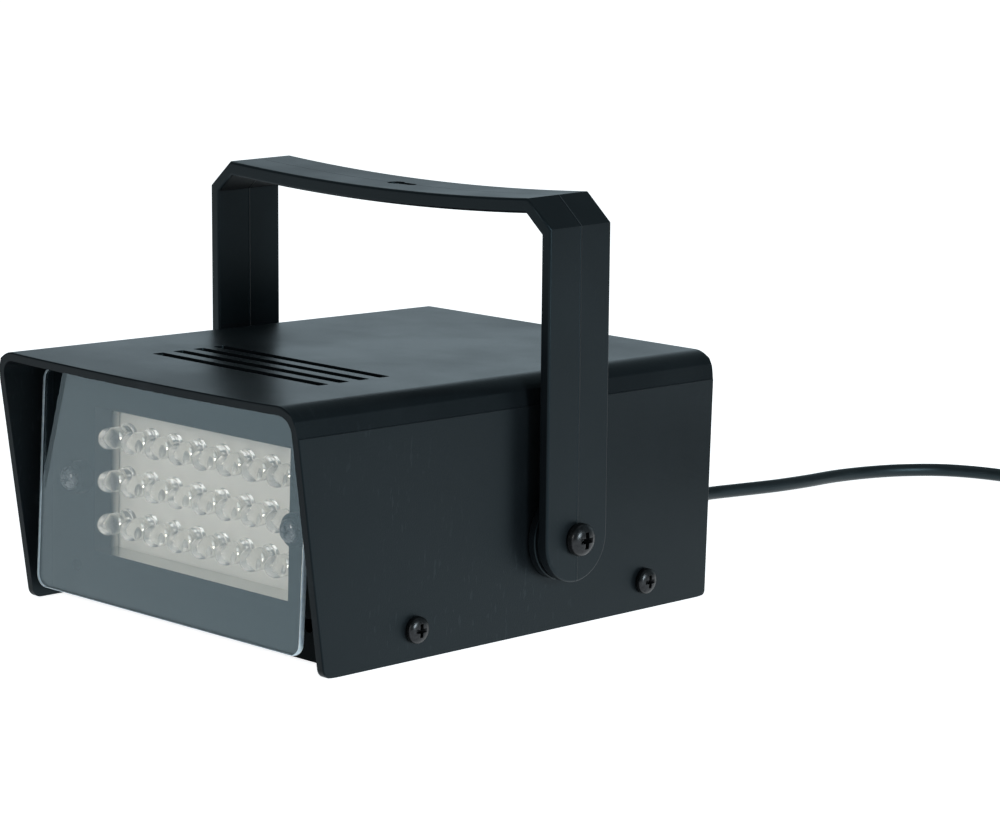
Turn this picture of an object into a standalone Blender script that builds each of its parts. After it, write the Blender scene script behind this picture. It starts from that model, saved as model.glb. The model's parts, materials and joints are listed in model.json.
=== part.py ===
"""Small strobe light: a moulded hood over a tray, a clear pane in front of 24 lamps, and a swivelling yoke.

Front of the light is -Y and its feet stand on z = 0. Sizes are in metres, written as millimetres times MM.
"""

import math

import bmesh
import bpy
from mathutils import Matrix, Vector

MM = 0.001
GAP = 0.3 * MM  # between pieces that touch

# Hood: an inverted U that slants back at the front
HOOD_WIDTH = 100.0 * MM
HOOD_DEPTH = 134.4 * MM
HOOD_HEIGHT = 58.8 * MM
HOOD_WALL = 2.0 * MM
HOOD_EDGE_RADIUS = 5.75 * MM
HOOD_SLANT = 9.8 * MM
HOOD_RIM_ROUND = 0.4 * MM
HOOD_FRONT_FOOT_RADIUS = 2.0 * MM
HOOD_REAR_FOOT_RADIUS = 1.2 * MM
STEP_HEIGHT = 52.3 * MM
STEP_DEPTH = 0.25 * MM
VENT_COUNT = 4
VENT_LENGTH = 57.0 * MM
VENT_WIDTH = 2.5 * MM
VENT_CORNER_RADIUS = 0.4 * MM
VENT_PITCH = 6.95 * MM
VENT_CENTRE_X = 2.3 * MM
VENT_FRONT_SETBACK = 26.2 * MM

# Chassis: front bezel, tray and rear panel, all carried 1 mm above the feet
CHASSIS_CLEARANCE = 1.0 * MM
BEZEL_SETBACK = 15.7 * MM
BEZEL_THICKNESS = 2.0 * MM
WINDOW_WIDTH = 65.2 * MM
WINDOW_HEIGHT = 33.3 * MM
WINDOW_CENTRE_HEIGHT = 29.75 * MM
SLEEVE_WALL = 1.6 * MM
BOSS_INSET = 10.8 * MM
BOSS_RADIUS = 3.75 * MM
BOSS_LENGTH = 3.1 * MM
DRAIN_HOLE_RADIUS = 1.5 * MM
DRAIN_HOLE_HEIGHT = 8.8 * MM
DRAIN_HOLE_INSET = 9.0 * MM
TRAY_THICKNESS = 2.0 * MM
TRAY_FLANGE_HEIGHT = 12.0 * MM
TRAY_BOSS_LENGTH = 5.0 * MM
TRAY_BOSS_RADIUS = 4.0 * MM
REAR_SETBACK = 2.1 * MM
REAR_THICKNESS = 2.0 * MM

# Clear pane, standing in front of the bezel and leaning back a little
PANE_SIDE_CLEARANCE = 3.15 * MM
PANE_TOP_CLEARANCE = 2.1 * MM
PANE_THICKNESS = 1.5 * MM
PANE_CORNER_RADIUS = 3.0 * MM
PANE_BOTTOM = 3.8 * MM
PANE_LEAN = math.radians(1.8)

# Lamps: 5 mm light-emitting diodes on one board
LED_ROWS = 3
LED_COLUMNS = 8
LED_PITCH_X = 8.05 * MM
LED_PITCH_Z = 9.92 * MM
LED_RADIUS = 2.5 * MM
LED_HEIGHT = 8.65 * MM
LED_FLANGE_RADIUS = 2.9 * MM
LED_FLANGE_HEIGHT = 1.0 * MM
LED_STANDOFF = 0.9 * MM
LED_LEAD_WIDTH = 0.5 * MM
LED_LEAD_PITCH = 2.54 * MM
LED_BOARD_SETBACK = 7.5 * MM
LED_BOARD_THICKNESS = 1.6 * MM
LED_BOARD_MARGIN = 2.4 * MM

# Yoke: one moulded band, clamped by a screw on each side
YOKE_CLEARANCE = 3.2 * MM
YOKE_BAND = 2.8 * MM
YOKE_BAR_BAND = 3.4 * MM
YOKE_LEG_WIDTH = 20.0 * MM
YOKE_HEIGHT = 76.9 * MM
YOKE_SAG = 1.8 * MM
YOKE_CHAMFER_X = 7.0 * MM
YOKE_CHAMFER_Z = 6.3 * MM
YOKE_CORNER_EASE = 0.2
YOKE_EDGE_ROUND = 0.6 * MM
YOKE_BAR_FACETS = 9
YOKE_LEAN = math.radians(1.7)
KEYHOLE_RADIUS = 2.1 * MM
KEYHOLE_SLOT_WIDTH = 2.4 * MM
KEYHOLE_LENGTH = 8.4 * MM
PIVOT_Y = 14.0 * MM
PIVOT_HEIGHT = 21.9 * MM
PIVOT_SHANK_RADIUS = 1.9 * MM
PIVOT_CLEARANCE = 0.3 * MM
SPACER_RADIUS = 10.0 * MM
SPACER_BOSS_RADIUS = 9.2 * MM
SPACER_FLANGE = 2.0 * MM

# Screws
PIVOT_HEAD_RADIUS = 3.75 * MM
PIVOT_HEAD_HEIGHT = 2.9 * MM
COVER_HEAD_RADIUS = 3.0 * MM
COVER_HEAD_HEIGHT = 1.9 * MM
COVER_SHANK_RADIUS = 1.45 * MM
COVER_SHANK_LENGTH = 6.0 * MM
COVER_SCREW_INSET = 20.7 * MM
COVER_SCREW_HEIGHT = 6.9 * MM
BEZEL_HEAD_RADIUS = 2.6 * MM
BEZEL_HEAD_HEIGHT = 1.8 * MM
CROWN_EDGE_HEIGHT_SHARE = 0.45
CROWN_SHARES = ((0.55, 0.97), (0.86, 0.8))
BEZEL_SHANK_LENGTH = 6.5 * MM
RECESS_SHARE = 0.62  # of the head's radius
RECESS_WIDTH_SHARE = 0.2  # of the head's radius
RECESS_DEPTH_SHARE = 0.6  # of the head's height
NUT_RADIUS = 4.0 * MM
NUT_THICKNESS = 3.0 * MM

# Rear controls and inner pieces
KNOB_X = 18.0 * MM
KNOB_HEIGHT = 30.0 * MM
KNOB_RADIUS = 8.0 * MM
KNOB_LENGTH = 11.0 * MM
KNOB_SKIRT = 2.0 * MM
KNOB_CROWN_RADIUS = 6.9 * MM
KNOB_EDGE = 1.0 * MM
KNOB_FLUTES = 12
FLUTE_RADIUS = 0.9 * MM
POINTER_WIDTH = 0.8 * MM
POINTER_DEPTH = 0.5 * MM
POT_RADIUS = 8.0 * MM
POT_DEPTH = 9.0 * MM
POT_BUSH_RADIUS = 3.5 * MM
POT_SHAFT_RADIUS = 3.0 * MM
POT_SHAFT_LENGTH = 8.0 * MM
DRIVER_WIDTH = 62.0 * MM
DRIVER_DEPTH = 44.0 * MM
DRIVER_THICKNESS = 1.6 * MM
DRIVER_Y = 14.0 * MM
POST_HEIGHT = 5.0 * MM
POST_RADIUS = 2.5 * MM
POST_INSET = 4.0 * MM
CAPACITOR_RADIUS = 8.0 * MM
CAPACITOR_LENGTH = 25.0 * MM
CAPACITOR_RIM = 0.8 * MM

# Cord, its strain relief and its plug
CORD_RADIUS = 1.8 * MM
CORD_EXIT_X = -25.0 * MM
CORD_EXIT_HEIGHT = 14.0 * MM
RELIEF_LENGTH = 22.0 * MM
RELIEF_RADIUS = 4.2 * MM
RELIEF_TIP_RADIUS = 2.5 * MM
RELIEF_FLANGE_RADIUS = 6.0 * MM
RELIEF_FLANGE = 2.0 * MM
RELIEF_RIBS = 6
RELIEF_GROOVE = 0.6 * MM
RIB_START_SHARE = 0.75
GROOVE_SHARE = 0.45
FLANGE_EDGE_SHARE = 0.8
CORD_REST = CORD_RADIUS + 0.1 * MM  # the cord's middle over the floor
CORD_LEAD = 2.0 * CORD_RADIUS  # straight at both ends of a run
COIL_LEAD = 2.2 * CORD_RADIUS
RUN_SPACING = 9.0 * MM
TAIL_SPACING = 8.0 * MM
COIL_CENTRE_X = 80.0 * MM
COIL_CENTRE_Y = 217.8 * MM
COIL_OUTER_RADIUS = 29.2 * MM
COIL_SIDE_TURNS = 3.25
COIL_PITCH = 4.45 * MM
COIL_LAYER = 4.2 * MM
COIL_LOOP_POINTS = 24
PLUG_LENGTH = 34.0 * MM
PLUG_WIDTH = 35.0 * MM
PLUG_NECK = 11.0 * MM
PLUG_THICKNESS = 13.6 * MM
PLUG_ROUND = 1.6 * MM
PLUG_SHOULDER = 18.7 * MM
PLUG_WAIST_SHARE = 0.6
PLUG_WAIST_WIDTH = 21.7 * MM
PIN_RADIUS = 2.0 * MM
PIN_LENGTH = 19.0 * MM
PIN_TIP = 1.0 * MM
PIN_SPACING = 18.6 * MM

# Places worked out from the sizes above
KNOB_END_Y = HOOD_DEPTH / 2 - REAR_SETBACK + GAP + KNOB_LENGTH
SHIFT_Y = -(KNOB_END_Y - HOOD_DEPTH / 2) / 2  # centres the whole light, knob included, on the origin
INNER_X = HOOD_WIDTH / 2 - HOOD_WALL
UNDER_TOP = HOOD_HEIGHT - HOOD_WALL
FRONT_TOP_Y = -HOOD_DEPTH / 2
BEZEL_FRONT_Y = FRONT_TOP_Y + BEZEL_SETBACK
REAR_BACK_Y = HOOD_DEPTH / 2 - REAR_SETBACK
REAR_FRONT_Y = REAR_BACK_Y - REAR_THICKNESS
LED_BOARD_Y = BEZEL_FRONT_Y + LED_BOARD_SETBACK
CHASSIS_X = INNER_X - GAP
TRAY_TOP = CHASSIS_CLEARANCE + TRAY_THICKNESS
BOARD_TOP = TRAY_TOP + POST_HEIGHT + GAP + DRIVER_THICKNESS
SCREW_YS = (BEZEL_FRONT_Y + COVER_SCREW_INSET, REAR_BACK_Y - COVER_SCREW_INSET)
SIDES = (("left", -1), ("right", 1))
YOKE_INNER_X = HOOD_WIDTH / 2 + YOKE_CLEARANCE
YOKE_OUTER_WIDTH = 2 * (YOKE_INNER_X + YOKE_BAND)
BOSS_X = CHASSIS_X - BOSS_INSET
PANE_WIDTH = 2 * (INNER_X - PANE_SIDE_CLEARANCE)
PANE_HEIGHT = UNDER_TOP - PANE_TOP_CLEARANCE - PANE_BOTTOM
CORD_START_Y = REAR_BACK_Y + RELIEF_LENGTH + GAP
COIL_TOP_Y = COIL_CENTRE_Y + COIL_OUTER_RADIUS
PLUG_REST = PLUG_THICKNESS / 2

# The cord's route by hand: from the strain relief down to the floor and away behind the light, then past the coil
RUN_ROUTE = (
    (-25.0, 96.0, 13.4), (-25.2, 108.0, 9.6), (-25.6, 121.0, 4.9), (-25.6, 134.0, 2.3), (-25.1, 147.0, 1.9),
    (-24.3, 158.3, 1.9), (-22.0, 170.0, 1.9), (-19.7, 182.0, 1.9), (-18.6, 194.0, 1.9), (-18.1, 207.0, 1.9),
    (-15.3, 220.5, 1.9), (-10.8, 231.0, 1.9), (-3.6, 240.0, 1.9), (7.0, 245.4, 1.9), (20.0, 247.4, 1.9),
    (36.0, 247.6, 1.9), (54.0, 247.1, 1.9),
)
TAIL_ROUTE = (
    (98.0, 246.6, 6.3), (112.0, 243.5, 5.6), (125.0, 236.4, 4.6), (134.0, 225.6, 4.6), (138.0, 212.0, 5.8),
)
PLUG_ENTRY = Vector((138.6 * MM, 196.0 * MM, PLUG_REST))
COIL_ENTRY = Vector((COIL_CENTRE_X - COIL_LEAD, COIL_TOP_Y, CORD_REST))
COIL_EXIT = Vector((COIL_CENTRE_X + COIL_LEAD, COIL_TOP_Y, CORD_REST + COIL_LAYER))

for old in list(bpy.data.objects):
    bpy.data.objects.remove(old, do_unlink=True)

PARTS = bpy.data.collections.new("led_strobe_light")
CUTTERS = bpy.data.collections.new("cutters")
for group in (PARTS, CUTTERS):
    bpy.context.scene.collection.children.link(group)


def material(name, colour, roughness, metallic=0.0, alpha=1.0):
    """A plain Principled material."""
    made = bpy.data.materials.new(name)
    made.use_nodes = True
    shader = made.node_tree.nodes["Principled BSDF"]
    shader.inputs["Base Color"].default_value = (*colour, 1.0)
    shader.inputs["Roughness"].default_value = roughness
    shader.inputs["Metallic"].default_value = metallic
    shader.inputs["Alpha"].default_value = alpha
    return made


BLACK_PLASTIC = material("black_plastic", (0.024, 0.028, 0.032), 0.5)
YOKE_PLASTIC = material("yoke_plastic", (0.026, 0.031, 0.035), 0.42)
CLEAR_PLASTIC = material("clear_plastic", (0.8, 0.88, 0.93), 0.05, alpha=0.3)
LED_RESIN = material("led_resin", (0.85, 0.87, 0.88), 0.08, alpha=0.5)
BOARD_WHITE = material("board_white", (0.62, 0.63, 0.58), 0.55)
BOARD_GREEN = material("board_green", (0.03, 0.16, 0.07), 0.5)
BLACK_STEEL = material("black_steel", (0.03, 0.03, 0.032), 0.35, metallic=0.9)
BRIGHT_STEEL = material("bright_steel", (0.62, 0.62, 0.6), 0.3, metallic=1.0)
SLEEVE_BLUE = material("sleeve_blue", (0.02, 0.05, 0.2), 0.4)
KNOB_PLASTIC = material("knob_plastic", (0.018, 0.019, 0.021), 0.45)
CORD_VINYL = material("cord_vinyl", (0.02, 0.021, 0.023), 0.5)


def at(x, y, z):
    """A place on the light, with y measured from the middle of the hood."""
    return Vector((x, y + SHIFT_Y, z))


def add(name, mesh, look, place=(0, 0, 0), turn=None, group=None):
    """Puts a mesh into the scene under its own name."""
    made = bpy.data.objects.new(name, mesh)
    made.location = place
    if turn is not None:
        made.rotation_euler = turn
    (group or PARTS).objects.link(made)
    if look is not None and not mesh.materials:
        mesh.materials.append(look)
    if group is CUTTERS:
        made.hide_render = True
        made.display_type = "WIRE"
    return made


def box_mesh(name, low, high):
    """A box between two corners."""
    bm = bmesh.new()
    bmesh.ops.create_cube(bm, size=1.0)
    size = Vector(high) - Vector(low)
    middle = (Vector(high) + Vector(low)) / 2
    bmesh.ops.scale(bm, vec=size, verts=bm.verts)
    bmesh.ops.translate(bm, vec=middle, verts=bm.verts)
    mesh = bpy.data.meshes.new(name)
    bm.to_mesh(mesh)
    bm.free()
    return mesh


def rod_mesh(name, radius, start, end, axis, segments=20, tip_radius=None):
    """A cylinder or cone from start to end along X, Y or Z through the object's origin."""
    bm = bmesh.new()
    far = radius if tip_radius is None else tip_radius
    bmesh.ops.create_cone(
        bm, cap_ends=True, segments=segments, radius1=radius, radius2=far, depth=end - start)
    bmesh.ops.translate(bm, vec=(0, 0, (start + end) / 2), verts=bm.verts)
    turns = {"X": Matrix.Rotation(math.pi / 2, 4, "Y"), "Y": Matrix.Rotation(-math.pi / 2, 4, "X")}
    if axis in turns:
        bmesh.ops.transform(bm, matrix=turns[axis], verts=bm.verts)
    mesh = bpy.data.meshes.new(name)
    bm.to_mesh(mesh)
    bm.free()
    return mesh


def arc(centre, radius, start, end, steps):
    """Points along an arc, angles in degrees."""
    points = []
    for step in range(steps + 1):
        angle = math.radians(start + (end - start) * step / steps)
        points.append((centre[0] + radius * math.cos(angle), centre[1] + radius * math.sin(angle)))
    return points


def rounded_outline(left, right, bottom, top, radius, steps=4, foot_radius=None):
    """A rectangle with round corners, anticlockwise from the bottom right; a foot radius of 0 leaves it square."""
    foot = radius if foot_radius is None else foot_radius
    points = []
    corners = (
        (right - foot, bottom + foot, foot, 270), (right - radius, top - radius, radius, 0),
        (left + radius, top - radius, radius, 90), (left + foot, bottom + foot, foot, 180))
    for x, z, size, start in corners:
        if size > 0:
            points += arc((x, z), size, start, start + 90, steps)
        else:
            points.append((x, z))
    return points


def slab_mesh(name, outline, thickness, turn):
    """A flat outline, or an outline with holes in it, given its thickness by a 2D curve."""
    loops = outline if isinstance(outline[0][0], (tuple, list)) else [outline]
    curve = bpy.data.curves.new(name, "CURVE")
    curve.dimensions = "2D"
    curve.fill_mode = "BOTH"
    curve.extrude = thickness / 2
    for loop in loops:
        spline = curve.splines.new("POLY")
        spline.points.add(len(loop) - 1)
        for point, (x, y) in zip(spline.points, loop):
            point.co = (x, y, 0, 1)
        spline.use_cyclic_u = True
    return curve_mesh(name, curve, turn)


def curve_mesh(name, curve, turn=None):
    """Turns a curve into a closed mesh."""
    holder = bpy.data.objects.new(name + "_curve", curve)
    bpy.context.scene.collection.objects.link(holder)
    depsgraph = bpy.context.evaluated_depsgraph_get()
    mesh = bpy.data.meshes.new_from_object(holder.evaluated_get(depsgraph))
    bpy.data.objects.remove(holder, do_unlink=True)
    mesh.name = name
    bm = bmesh.new()
    bm.from_mesh(mesh)
    bmesh.ops.remove_doubles(bm, verts=bm.verts, dist=0.00001)
    if turn is not None:
        bmesh.ops.transform(bm, matrix=turn, verts=bm.verts)
    bmesh.ops.recalc_face_normals(bm, faces=bm.faces)
    bm.to_mesh(mesh)
    bm.free()
    return mesh


FACING_FRONT = Matrix.Rotation(math.pi / 2, 4, "X")  # outline x, z; thickness along Y
FACING_SIDE = Matrix(((0, 0, 1, 0), (1, 0, 0, 0), (0, 1, 0, 0), (0, 0, 0, 1)))  # outline y, z; thickness along X


def bevel(obj, width, segments=2, angle=40):
    """Rounds the sharp edges of an object."""
    edge = obj.modifiers.new("edges", "BEVEL")
    edge.width = width
    edge.segments = segments
    edge.limit_method = "ANGLE"
    edge.angle_limit = math.radians(angle)
    return edge


def boolean(obj, cutter, operation="DIFFERENCE"):
    """Cuts, joins or trims an object with another that stays out of the render."""
    cut = obj.modifiers.new(cutter.name, "BOOLEAN")
    cut.operation = operation
    cut.solver = "EXACT"
    cut.object = cutter
    return cut


def turned(name, profile, look, place, turn=None, steps=16, group=None):
    """A turned piece: a profile of radius and height, top to bottom, swept about its own Z."""
    bm = bmesh.new()
    verts = [bm.verts.new((radius, 0, height)) for radius, height in profile]
    for first, second in zip(verts, verts[1:]):
        bm.edges.new((first, second))
    mesh = bpy.data.meshes.new(name)
    bm.to_mesh(mesh)
    bm.free()
    made = add(name, mesh, look, place, turn, group)
    sweep = made.modifiers.new("turn", "SCREW")
    sweep.steps = steps
    sweep.render_steps = steps
    sweep.use_merge_vertices = True
    sweep.merge_threshold = 0.00001
    sweep.use_smooth_shade = True
    return made


def smooth(obj, angle=35):
    """Shades round faces smooth and keeps the sharp edges."""
    obj.data.shade_smooth()
    obj.data.set_sharp_from_angle(angle=math.radians(angle))


def smooth_curve(route, spacing):
    """Evenly spaced points along a Catmull-Rom curve through a route."""
    knots = [Vector(point) for point in route]
    knots = [2 * knots[0] - knots[1]] + knots + [2 * knots[-1] - knots[-2]]
    fine = []
    for p0, p1, p2, p3 in zip(knots, knots[1:], knots[2:], knots[3:]):
        for step in range(24):
            t = step / 24
            fine.append(0.5 * ((2 * p1) + (p2 - p0) * t + (2 * p0 - 5 * p1 + 4 * p2 - p3) * t ** 2
                               + (3 * p1 - p0 - 3 * p2 + p3) * t ** 3))
    fine.append(knots[-2])
    total = sum((b - a).length for a, b in zip(fine, fine[1:]))
    count = max(2, round(total / spacing))
    points = [fine[0]]
    travelled = 0.0
    for a, b in zip(fine, fine[1:]):
        piece = (b - a).length
        while travelled + piece >= total * len(points) / count and len(points) < count:
            points.append(a.lerp(b, (total * len(points) / count - travelled) / piece))
        travelled += piece
    points.append(fine[-1])
    return points, total


def tube(name, points, radius, look, resolution=2):
    """A round cord along points."""
    curve = bpy.data.curves.new(name, "CURVE")
    curve.dimensions = "3D"
    curve.bevel_depth = radius
    curve.bevel_resolution = resolution
    curve.use_fill_caps = True
    spline = curve.splines.new("POLY")
    spline.points.add(len(points) - 1)
    for point, place in zip(spline.points, points):
        point.co = (*place, 1)
        point.radius = 1.0
    made = bpy.data.objects.new(name, curve)
    PARTS.objects.link(made)
    curve.materials.append(look)
    return made


def front_y(height):
    """Where the hood's slanted front edge is at a height."""
    return FRONT_TOP_Y + HOOD_SLANT * (1 - height / HOOD_HEIGHT)


def make_hood():
    """The moulded hood: round top edges, a slanted mouth, a small step below the top and vents."""
    half = HOOD_WIDTH / 2
    outer = [(half, 0)] + arc((half - HOOD_EDGE_RADIUS, HOOD_HEIGHT - HOOD_EDGE_RADIUS), HOOD_EDGE_RADIUS, 0, 90, 8)
    inner_radius = HOOD_EDGE_RADIUS - HOOD_WALL
    inner = arc((INNER_X - inner_radius, UNDER_TOP - inner_radius), inner_radius, 90, 0, 6) + [(INNER_X, 0)]
    outline = outer + [(-x, z) for x, z in reversed(outer)]
    outline += [(-x, z) for x, z in reversed(inner)] + inner
    mesh = slab_mesh("hood", outline, HOOD_DEPTH, FACING_FRONT)
    bm = bmesh.new()
    bm.from_mesh(mesh)
    for vert in bm.verts:
        if vert.co.y < 0:
            vert.co.y = front_y(vert.co.z)
    feet = {1: HOOD_FRONT_FOOT_RADIUS, -1: HOOD_REAR_FOOT_RADIUS}
    for end, radius in feet.items():
        low = [e for e in bm.edges if all(v.co.z < GAP and v.co.y * end < 0 for v in e.verts)
               and abs(e.verts[0].co.x - e.verts[1].co.x) > HOOD_WALL / 2]
        bmesh.ops.bevel(bm, geom=low, offset=radius, segments=4, affect="EDGES", profile=0.5)
    rims = []
    for edge in bm.edges:
        if len(edge.link_faces) == 2 and edge.calc_face_angle() > math.radians(50):
            middle = (edge.verts[0].co + edge.verts[1].co) / 2
            mouth = middle.y < 0 and middle.y < front_y(middle.z) + HOOD_FRONT_FOOT_RADIUS
            outside = abs(middle.x) > INNER_X + HOOD_WALL / 2 or middle.z > UNDER_TOP + HOOD_WALL / 2
            if (mouth or middle.y > HOOD_DEPTH / 2 - HOOD_REAR_FOOT_RADIUS) and outside:
                rims.append(edge)
    bmesh.ops.bevel(bm, geom=rims, offset=HOOD_RIM_ROUND, segments=2, affect="EDGES", profile=0.5)
    bm.to_mesh(mesh)
    bm.free()
    hood = add("hood", mesh, BLACK_PLASTIC, at(0, 0, 0))
    for side, sign in SIDES:
        low = (half - STEP_DEPTH, -HOOD_DEPTH, STEP_HEIGHT)
        shoulder = box_mesh("shoulder_" + side, low, (half + HOOD_WALL, HOOD_DEPTH, HOOD_HEIGHT))
        cutter = add("shoulder_" + side, shoulder, None, at(0, 0, 0), (0, 0, 0 if sign > 0 else math.pi), CUTTERS)
        boolean(hood, cutter)
    for index in range(VENT_COUNT):
        y = FRONT_TOP_Y + VENT_FRONT_SETBACK + index * VENT_PITCH
        reach = VENT_LENGTH / 2
        outline = rounded_outline(-reach, reach, -VENT_WIDTH / 2, VENT_WIDTH / 2, VENT_CORNER_RADIUS, 2)
        slot = slab_mesh("vent_%d" % (index + 1), outline, 3 * HOOD_WALL, None)
        boolean(hood, add(slot.name, slot, None, at(VENT_CENTRE_X, y, UNDER_TOP), None, CUTTERS))
    for index, y in enumerate(SCREW_YS):
        drill = rod_mesh("screw_drill_%d" % (index + 1), COVER_SHANK_RADIUS + GAP, -half - GAP, half + GAP, "X", 14)
        boolean(hood, add(drill.name, drill, None, at(0, y, COVER_SCREW_HEIGHT), None, CUTTERS))
    drill = rod_mesh("pivot_drill", PIVOT_SHANK_RADIUS + PIVOT_CLEARANCE, -half - GAP, half + GAP, "X", 18)
    boolean(hood, add(drill.name, drill, None, at(0, PIVOT_Y, PIVOT_HEIGHT), None, CUTTERS))
    smooth(hood)


def make_bezel():
    """The front plate, with its window, the sleeve round the lamps and a boss for each screw."""
    top_radius = HOOD_EDGE_RADIUS - HOOD_WALL + GAP
    outline = rounded_outline(
        -CHASSIS_X, CHASSIS_X, CHASSIS_CLEARANCE, UNDER_TOP - GAP, top_radius, 5, foot_radius=0)
    plate = slab_mesh("front_bezel", outline, BEZEL_THICKNESS, FACING_FRONT)
    bezel = add("front_bezel", plate, BLACK_PLASTIC, at(0, BEZEL_FRONT_Y + BEZEL_THICKNESS / 2, 0))
    half_w = WINDOW_WIDTH / 2
    half_h = WINDOW_HEIGHT / 2
    sleeve_end = LED_BOARD_Y - GAP
    sleeve = box_mesh(
        "sleeve", (-half_w - SLEEVE_WALL, BEZEL_THICKNESS / 2, -half_h - SLEEVE_WALL),
        (half_w + SLEEVE_WALL, sleeve_end - BEZEL_FRONT_Y, half_h + SLEEVE_WALL))
    boolean(bezel, add("sleeve", sleeve, None, at(0, BEZEL_FRONT_Y, WINDOW_CENTRE_HEIGHT), None, CUTTERS), "UNION")
    for side, sign in SIDES:
        boss = rod_mesh("boss_" + side, BOSS_RADIUS, -BOSS_LENGTH, BEZEL_THICKNESS / 2, "Y", 24)
        place = at(sign * BOSS_X, BEZEL_FRONT_Y, WINDOW_CENTRE_HEIGHT)
        boolean(bezel, add(boss.name, boss, None, place, None, CUTTERS), "UNION")
    window = box_mesh("window", (-half_w, -HOOD_WALL, -half_h), (half_w, 2 * LED_BOARD_SETBACK, half_h))
    boolean(bezel, add("window", window, None, at(0, BEZEL_FRONT_Y, WINDOW_CENTRE_HEIGHT), None, CUTTERS))
    for side, sign in SIDES:
        place = at(sign * BOSS_X, BEZEL_FRONT_Y, WINDOW_CENTRE_HEIGHT)
        pilot = rod_mesh("pilot_" + side, COVER_SHANK_RADIUS + GAP, -2 * BOSS_LENGTH, 2 * BEZEL_THICKNESS, "Y", 14)
        boolean(bezel, add(pilot.name, pilot, None, place, None, CUTTERS))
        place = at(sign * (CHASSIS_X - DRAIN_HOLE_INSET), BEZEL_FRONT_Y, DRAIN_HOLE_HEIGHT)
        hole = rod_mesh("small_hole_" + side, DRAIN_HOLE_RADIUS, -HOOD_WALL, 2 * BEZEL_THICKNESS, "Y", 14)
        boolean(bezel, add(hole.name, hole, None, place, None, CUTTERS))
    smooth(bezel)


def pane_back_y(height):
    """Where the back of the leaning pane is at a height; it bears on the two screw heads."""
    touch = BEZEL_FRONT_Y - BOSS_LENGTH - GAP - BEZEL_HEAD_HEIGHT - GAP
    return touch + (height - WINDOW_CENTRE_HEIGHT) * math.tan(PANE_LEAN)


def make_pane():
    """The clear pane with round corners."""
    half = PANE_WIDTH / 2
    outline = rounded_outline(-half, half, 0, PANE_HEIGHT, PANE_CORNER_RADIUS, 5)
    mesh = slab_mesh("clear_pane", outline, PANE_THICKNESS, FACING_FRONT)
    shift_mesh(mesh, (0, -PANE_THICKNESS / 2, 0))
    pane = add("clear_pane", mesh, CLEAR_PLASTIC, at(0, pane_back_y(PANE_BOTTOM), PANE_BOTTOM), (-PANE_LEAN, 0, 0))
    smooth(pane)


def shift_mesh(mesh, offset):
    """Moves a mesh inside its object."""
    mesh.transform(Matrix.Translation(offset))


def make_screw(name, head_radius, head_height, shank_radius, shank_length, look, place, turn):
    """A pan-head screw with a cross recess, head up the object's +Z and seat at its origin."""
    crown = head_height * CROWN_EDGE_HEIGHT_SHARE
    profile = [(0, head_height)]
    profile += [(head_radius * out, head_height * up) for out, up in CROWN_SHARES]
    profile += [(head_radius, crown), (head_radius, 0), (shank_radius, 0)]
    profile += [(shank_radius, -shank_length + shank_radius / 2), (shank_radius / 2, -shank_length)]
    profile += [(0, -shank_length)]
    screw = turned(name, profile, look, place, turn, 16)
    reach = head_radius * RECESS_SHARE
    width = head_radius * RECESS_WIDTH_SHARE
    floor = head_height * (1 - RECESS_DEPTH_SHARE)
    first = box_mesh(name + "_recess", (-reach, -width / 2, floor), (reach, width / 2, 2 * head_height))
    second = box_mesh(name + "_recess_b", (-width / 2, -reach, floor), (width / 2, reach, 2 * head_height))
    for mesh in (first, second):
        cutter = add(mesh.name, mesh, None, place, turn, CUTTERS)
        boolean(screw, cutter)
    return screw


TOWARD = {1: (0, math.pi / 2, 0), -1: (0, -math.pi / 2, 0)}
TOWARD_FRONT = (math.pi / 2, 0, 0)
TOWARD_REAR = (-math.pi / 2, 0, 0)


def make_screws():
    """Two behind the pane, two in each side of the hood."""
    for side, sign in SIDES:
        place = at(sign * BOSS_X, BEZEL_FRONT_Y - BOSS_LENGTH - GAP, WINDOW_CENTRE_HEIGHT)
        make_screw("bezel_screw_" + side, BEZEL_HEAD_RADIUS, BEZEL_HEAD_HEIGHT, COVER_SHANK_RADIUS,
                   BEZEL_SHANK_LENGTH, BLACK_STEEL, place, TOWARD_FRONT)
        for end, y in zip(("front", "rear"), SCREW_YS):
            place = at(sign * (HOOD_WIDTH / 2 + GAP), y, COVER_SCREW_HEIGHT)
            make_screw("cover_screw_%s_%s" % (end, side), COVER_HEAD_RADIUS, COVER_HEAD_HEIGHT,
                       COVER_SHANK_RADIUS, COVER_SHANK_LENGTH, BLACK_STEEL, place, TOWARD[sign])


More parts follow.
